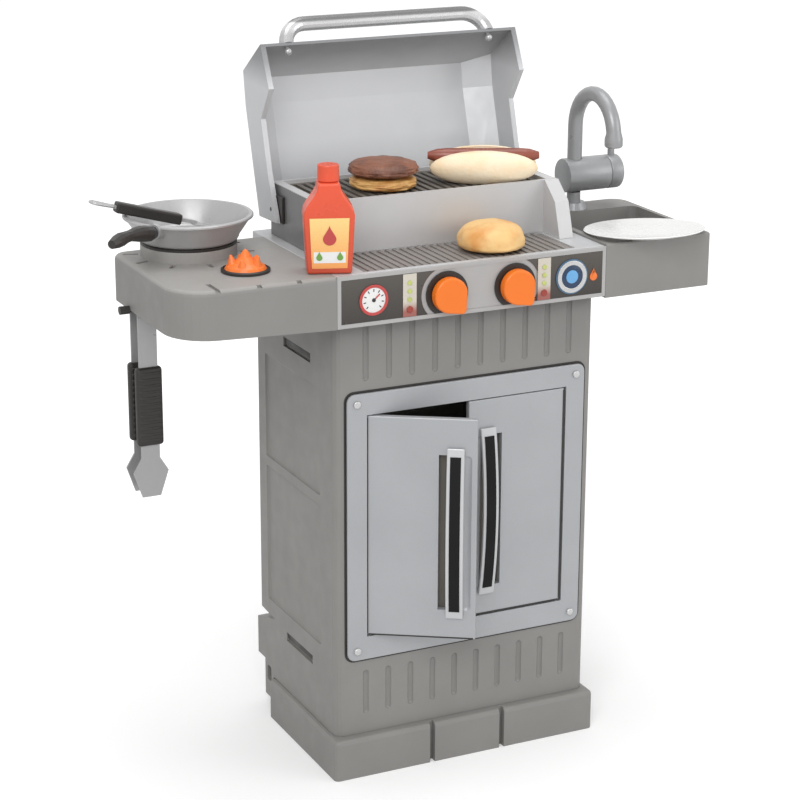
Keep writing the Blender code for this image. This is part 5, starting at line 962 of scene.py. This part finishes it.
@dataclass
class Front:
    """Painted shadow lines round the frame and the doors, rivet heads, handle inlays and painted shadow in
    the sides' slots.

    Attributes:
        half: Half the frame's width.
        bottom: The frame's bottom.
        top: The frame's top.
        line: The width of the dark line, a painted shadow round the frame.
        line_corner: The radius of its corners.
        line_depth: How thick it is.
        face: Depth of the frame's front.
        rivet_inset: The rivets' distance from the frame's edges.
        rivet: A rivet head's radius and height.
        edge: The bevel on the thin slabs.
        hinge: The left door's hinge.
        open_angle: How far the left door stands open, in degrees.
        bow: Radius of the handles' bow.
        bow_front: Depth of the bow's front.
        bow_middle: Height of its middle.
        bow_sweep: Half the bow's angle that the inlay covers, in degrees.
        inlay_size: The inlay's width and thickness.
        inlay_middle: Its place across and its depth.
        leaf_slabs: Name, size, middle and finish of each thin slab on a door.
        slot_heights: Heights of the slots in the sides.
        slot_size: Size of the black slab painted as shadow inside a slot.
        slot_middle: Its place across and its depth.
        slot_edge: The bevel on it.
    """

    half: float = 0.161
    bottom: float = 0.153
    top: float = 0.494
    line: float = 0.0028
    line_corner: float = 0.0125
    line_depth: float = 0.0004
    face: float = -0.1243
    rivet_inset: float = 0.0125
    rivet: Flat = (0.0046, 0.0030)
    edge: float = 0.0001
    hinge: Flat = (-0.130, -0.120)
    open_angle: float = 32.0
    bow: float = 0.5922
    bow_front: float = -0.1383
    bow_middle: float = 0.321
    bow_sweep: float = 9.6
    inlay_size: Flat = (0.0130, 0.0009)
    inlay_middle: Flat = (0.0262, -0.1384)
    leaf_slabs: tuple[tuple[str, Point, Point, Finish], ...] = (
        # The outer and lower lines are black strips painted as the shadow in the gaps round the doors.
        ("outer_shadow_line", (0.0024, 0.0005, 0.276), (0.1326, -0.1241, 0.325), BLACK),
        ("lower_shadow_line", (0.128, 0.0005, 0.0018), (0.067, -0.1241, 0.1858), BLACK),
        ("slot_floor", (0.0310, 0.0010, 0.200), (0.0323, -0.1153, 0.321), RECESS),
    )
    slot_heights: Flat = (0.1305, 0.5235)
    slot_size: Point = (0.0016, 0.080, 0.0075)
    slot_middle: Flat = (0.1727, -0.007)
    slot_edge: float = 0.0004

    def frame_shadow_line(self) -> None:
        """Builds the dark line round the frame, a painted shadow along its edge."""
        shape = bmesh.new()
        bmesh.ops.create_grid(shape, x_segments=1, y_segments=1, size=1)
        size = Vector((self.half + self.line, (self.top - self.bottom) / 2 + self.line, 1))
        bmesh.ops.scale(shape, vec=size, verts=shape.verts)
        ease(shape, shape.verts[:], self.line_corner, "VERTICES", 5)
        bmesh.ops.inset_region(shape, faces=shape.faces[:], thickness=2 * self.line, use_boundary=True,
                               use_even_offset=True)
        inside = [face for face in shape.faces if len(face.verts) > 4]
        bmesh.ops.delete(shape, geom=inside, context="FACES")
        turn(shape, math.pi / 2, "X")
        bmesh.ops.solidify(shape, geom=shape.faces[:], thickness=self.line_depth)
        move(shape, (0, FRONT - self.line_depth - self.edge, (self.bottom + self.top) / 2))
        bmesh.ops.recalc_face_normals(shape, faces=shape.faces)
        # A black strip painted as the shadow round the frame's edge.
        place_piece("frame_shadow_line", shape, BLACK, "root", smooth=False)

    def rivets(self) -> None:
        """Puts a bright domed head on each of the frame's rivets."""
        heights = (self.bottom + self.rivet_inset, self.top - self.rivet_inset)
        corners = [(side, height) for side in (-1, 1) for height in heights]
        for number, (side, height) in enumerate(corners):
            head = button(*self.rivet, (side * (self.half - self.rivet_inset), self.face + SLIP, height))
            place_piece(f"rivet_head_{number}", head, BRIGHT, "root")

    def on_leaf(self, name: str, side: int, shape: Shape, finish: Finish) -> None:
        """Places a thin shape on a door, turned with it where the door stands open.

        Args:
            name: The piece's name.
            side: -1 for the left door, 1 for the right one.
            shape: The shape as on a shut door.
            finish: Its finish.
        """
        angle = self.open_angle if side < 0 else 0.0
        turn(shape, -math.radians(angle), "Z", (*self.hinge, 0))
        place_piece(name, shape, finish, "left_door_leaf" if side < 0 else "right_door_leaf", smooth=False)

    def leaf_shades(self) -> None:
        """Puts black lines as painted shadow in the gaps at the doors' outer and lower edges, and a floor
        behind each finger slot.
        """
        for side, word in ((-1, "left"), (1, "right")):
            for name, size, (across, depth, height), finish in self.leaf_slabs:
                shape = slab(size, (side * across, depth, height), self.edge)
                self.on_leaf(f"{word}_{name}", side, shape, finish)

    def inlay(self, side: int, name: str) -> None:
        """Builds a black strip along a handle's bowed front.

        Args:
            side: -1 for the left door, 1 for the right one.
            name: The piece's name.
        """
        sweep = math.radians(self.bow_sweep)
        centre = Vector((0, self.bow_front + self.bow, self.bow_middle))
        shape = sheet((*self.inlay_size, 1))
        across, depth = self.inlay_middle
        move(shape, (side * across, depth, self.bow_middle))
        turn(shape, -sweep, "X", centre)
        bmesh.ops.spin(shape, geom=shape.faces[:], cent=centre, axis=Vector((1, 0, 0)), angle=2 * sweep,
                       steps=28)
        bmesh.ops.recalc_face_normals(shape, faces=shape.faces)
        self.on_leaf(name, side, shape, INK)

    def side_slots(self) -> None:
        """Puts a black slab, a painted shadow, inside each side's slots."""
        across, depth = self.slot_middle
        for side in (-1, 1):
            for number, height in enumerate(self.slot_heights):
                shape = slab(self.slot_size, (side * across, depth, height), self.slot_edge)
                place_piece(f"slot_shadow_{number}_{side + 1}", shape, BLACK, "root")

    def build(self) -> None:
        """Builds all the front's pieces."""
        self.frame_shadow_line()
        self.rivets()
        self.leaf_shades()
        self.inlay(-1, "left_handle_inlay")
        self.inlay(1, "right_handle_inlay")
        self.side_slots()
        LOG.info("doors and sides dressed")


@dataclass(frozen=True)
class Lump:
    """Lumpy rounded body that takes the place of a solid.

    Attributes:
        node: The solid's name.
        body: The body that it rides on.
        finish: Its finish.
        waist: Height of its widest part as a share of its height.
        fullness: Two for round sides, more for fuller ones.
        lumps: How deep the lumps go, as a share of the radius.
        grain: Lumps along its width.
    """

    node: str
    body: str
    finish: Finish
    waist: float
    fullness: float
    lumps: float
    grain: float

    def shape(self, low: Vector, high: Vector) -> Shape:
        """Builds it so that it fills a box.

        Args:
            low: The box's low corner.
            high: The box's high corner.

        Returns:
            The bmesh.
        """
        shape = bmesh.new()
        bmesh.ops.create_uvsphere(shape, u_segments=56, v_segments=36, radius=1)
        size = high - low
        for vert in shape.verts:
            rise = min(1.0, abs(vert.co.z))
            level = math.hypot(vert.co.x, vert.co.y)
            full = (1 - rise ** self.fullness) ** (1 / self.fullness)
            share = full / level if level > SLIP else 0.0
            dent = 1 - self.lumps * (0.5 + 0.5 * noise.noise(vert.co * self.grain))
            above = vert.co.z > 0
            height = self.waist + vert.co.z * ((1 - self.waist) * dent if above else self.waist)
            vert.co = Vector(((vert.co.x * share * dent + 1) / 2 * size.x + low.x,
                              (vert.co.y * share * dent + 1) / 2 * size.y + low.y, height * size.z + low.z))
        bmesh.ops.recalc_face_normals(shape, faces=shape.faces)
        return shape


@dataclass
class Smoothing:
    """Lumpy play food in place of the plain turned solids, and smooth copies of the faceted solids.

    Attributes:
        nodes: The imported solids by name.
        lumps: The lumpy pieces by name.
        copies: The solids that get a smooth copy, with their bodies and finishes.
        crease: The angle past which an edge stays sharp, in radians.
        merge: The distance at which a copy's corners are merged.
    """

    nodes: dict[str, bpy.types.Object]
    lumps: dict[str, Lump] = field(default_factory=lambda: {
        "lumpy_bun_top": Lump("bun_top", "loose_bun", BREAD, 0.25, 2.6, 0.07, 2.6),
        "lumpy_bun_bottom": Lump("bun_bottom", "burger_bun", GOLDEN, 0.5, 4.0, 0.12, 4.0),
        "lumpy_patty": Lump("burger_patty", "patty", MEAT, 0.36, 3.0, 0.12, 6.0),
    })
    copies: tuple[tuple[str, str, Finish], ...] = (
        ("hot_dog_bun", "hot_dog", CREAM), ("sausage", "sausage_body", SAUSAGE),
        ("faucet_body", "faucet_top", FAUCET_GREY), ("faucet_spout", "faucet_top", FAUCET_GREY),
        ("faucet_handle", "faucet_end", FAUCET_GREY), ("plate", "plate_body", WHITE),
        ("pan_body", "pan", PAN_SILVER),
    )
    crease: float = 0.6
    merge: float = 0.00001

    def smooth_copy(self, name: str, body: str, finish: Finish) -> None:
        """Replaces a faceted solid by a merged copy that is shaded smooth between its creases.

        Args:
            name: The solid's name.
            body: The body's name.
            finish: The copy's finish.
        """
        shape = bmesh.new()
        shape.from_mesh(self.nodes[name].data)
        bmesh.ops.remove_doubles(shape, verts=shape.verts, dist=self.merge)
        for edge in shape.edges:
            edge.smooth = len(edge.link_faces) == 2 and edge.calc_face_angle() < self.crease
        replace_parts(place_piece(f"smooth_{name}", shape, finish, body), name)

    def build(self) -> None:
        """Replaces the buns, the patty and the faceted solids."""
        for name, lump in self.lumps.items():
            low, high = (Vector(corner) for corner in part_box(lump.node))
            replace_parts(place_piece(name, lump.shape(low, high), lump.finish, lump.body), lump.node)
        for name, body, finish in self.copies:
            self.smooth_copy(name, body, finish)
        LOG.info("food shaped, %d solids smoothed", len(self.copies))


@dataclass
class Tools:
    """Ridges on the tongs' grips and the print on the bottle.

    Attributes:
        grips: Each grip's body and depth.
        grip_across: The grips' place across.
        grip_low: Height of the lowest ridge.
        ridges: How many ridges each grip has.
        pitch: The ridges' distance.
        ridge: Size of a ridge.
        ridge_edge: The bevel on it.
        bottle: The bottle's place.
        turned: The bottle's turn, in degrees.
        label: Depth of the label's front.
        band: Size of the pale band.
        band_height: Height of its middle and of the leaves' middles.
        drop: The drop's radius and the height of its middle.
        leaf: A leaf's radius and its place across.
        print_depth: How far the drop and the leaves stand out.
    """

    grips: tuple[tuple[str, float], ...] = (("tongs", 0.013), ("tongs_rear", 0.039))
    grip_across: float = -0.3585
    grip_low: float = 0.427
    ridges: int = 12
    pitch: float = 0.0076
    ridge: Point = (0.0270, 0.0120, 0.0042)
    ridge_edge: float = 0.0014
    bottle: Point = (-0.175, -0.104, 0.6433)
    turned: float = -20.0
    label: float = -0.0190
    band: Point = (0.0370, 0.0003, 0.0130)
    band_height: float = 0.020
    drop: Flat = (0.0078, 0.042)
    leaf: Flat = (0.0036, 0.012)
    print_depth: float = 0.0004

    def tongs(self) -> None:
        """Puts ridges round both grips."""
        for body, depth in self.grips:
            for index in range(self.ridges):
                middle = (self.grip_across, depth, self.grip_low + index * self.pitch)
                place_piece(f"{body}_ridge_{index}", slab(self.ridge, middle, self.ridge_edge), BLACK, body)

    def print_on_bottle(self) -> None:
        """Puts a drop with two leaves and a pale band on the label."""
        radius, height = self.drop
        leaf, across = self.leaf
        on_band = self.label - SLIP
        prints = {
            "bottle_band": (slab(self.band, (0, self.label, self.band_height), SLIP / 3), WHITE),
            "bottle_drop": (button(radius, self.print_depth, (0, self.label, height), 1.0), RED_PRINT),
            "bottle_leaf_left": (button(leaf, self.print_depth, (-across, on_band, self.band_height), 1.0),
                                 LEAF_PRINT),
            "bottle_leaf_right": (button(leaf, self.print_depth, (across, on_band, self.band_height), 1.0),
                                  LEAF_PRINT),
        }
        for name, (shape, finish) in prints.items():
            turn(shape, math.radians(self.turned), "Z")
            move(shape, self.bottle)
            place_piece(name, shape, finish, "bottle", smooth=False)

    def build(self) -> None:
        """Builds the ridges and the print."""
        self.tongs()
        self.print_on_bottle()
        LOG.info("tools dressed")


def dress_nodes(nodes: dict[str, bpy.types.Object]) -> None:
    """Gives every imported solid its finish.

    Args:
        nodes: The solids by name.
    """
    for finish, names in FINISH_NODES.items():
        for name in names:
            mesh = nodes[name].data
            mesh.materials.clear()
            mesh.materials.append(material_of(finish))
            LOG.info("dressed %s", name)


def main() -> None:
    """Builds every class in order."""
    logging.basicConfig(level=logging.INFO, format="%(message)s")
    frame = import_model()
    Studio().build()
    dress_nodes(frame["nodes"])
    Panel().build()
    Front().build()
    Smoothing(frame["nodes"]).build()
    Tools().build()


if __name__ == "__main__":
    main()
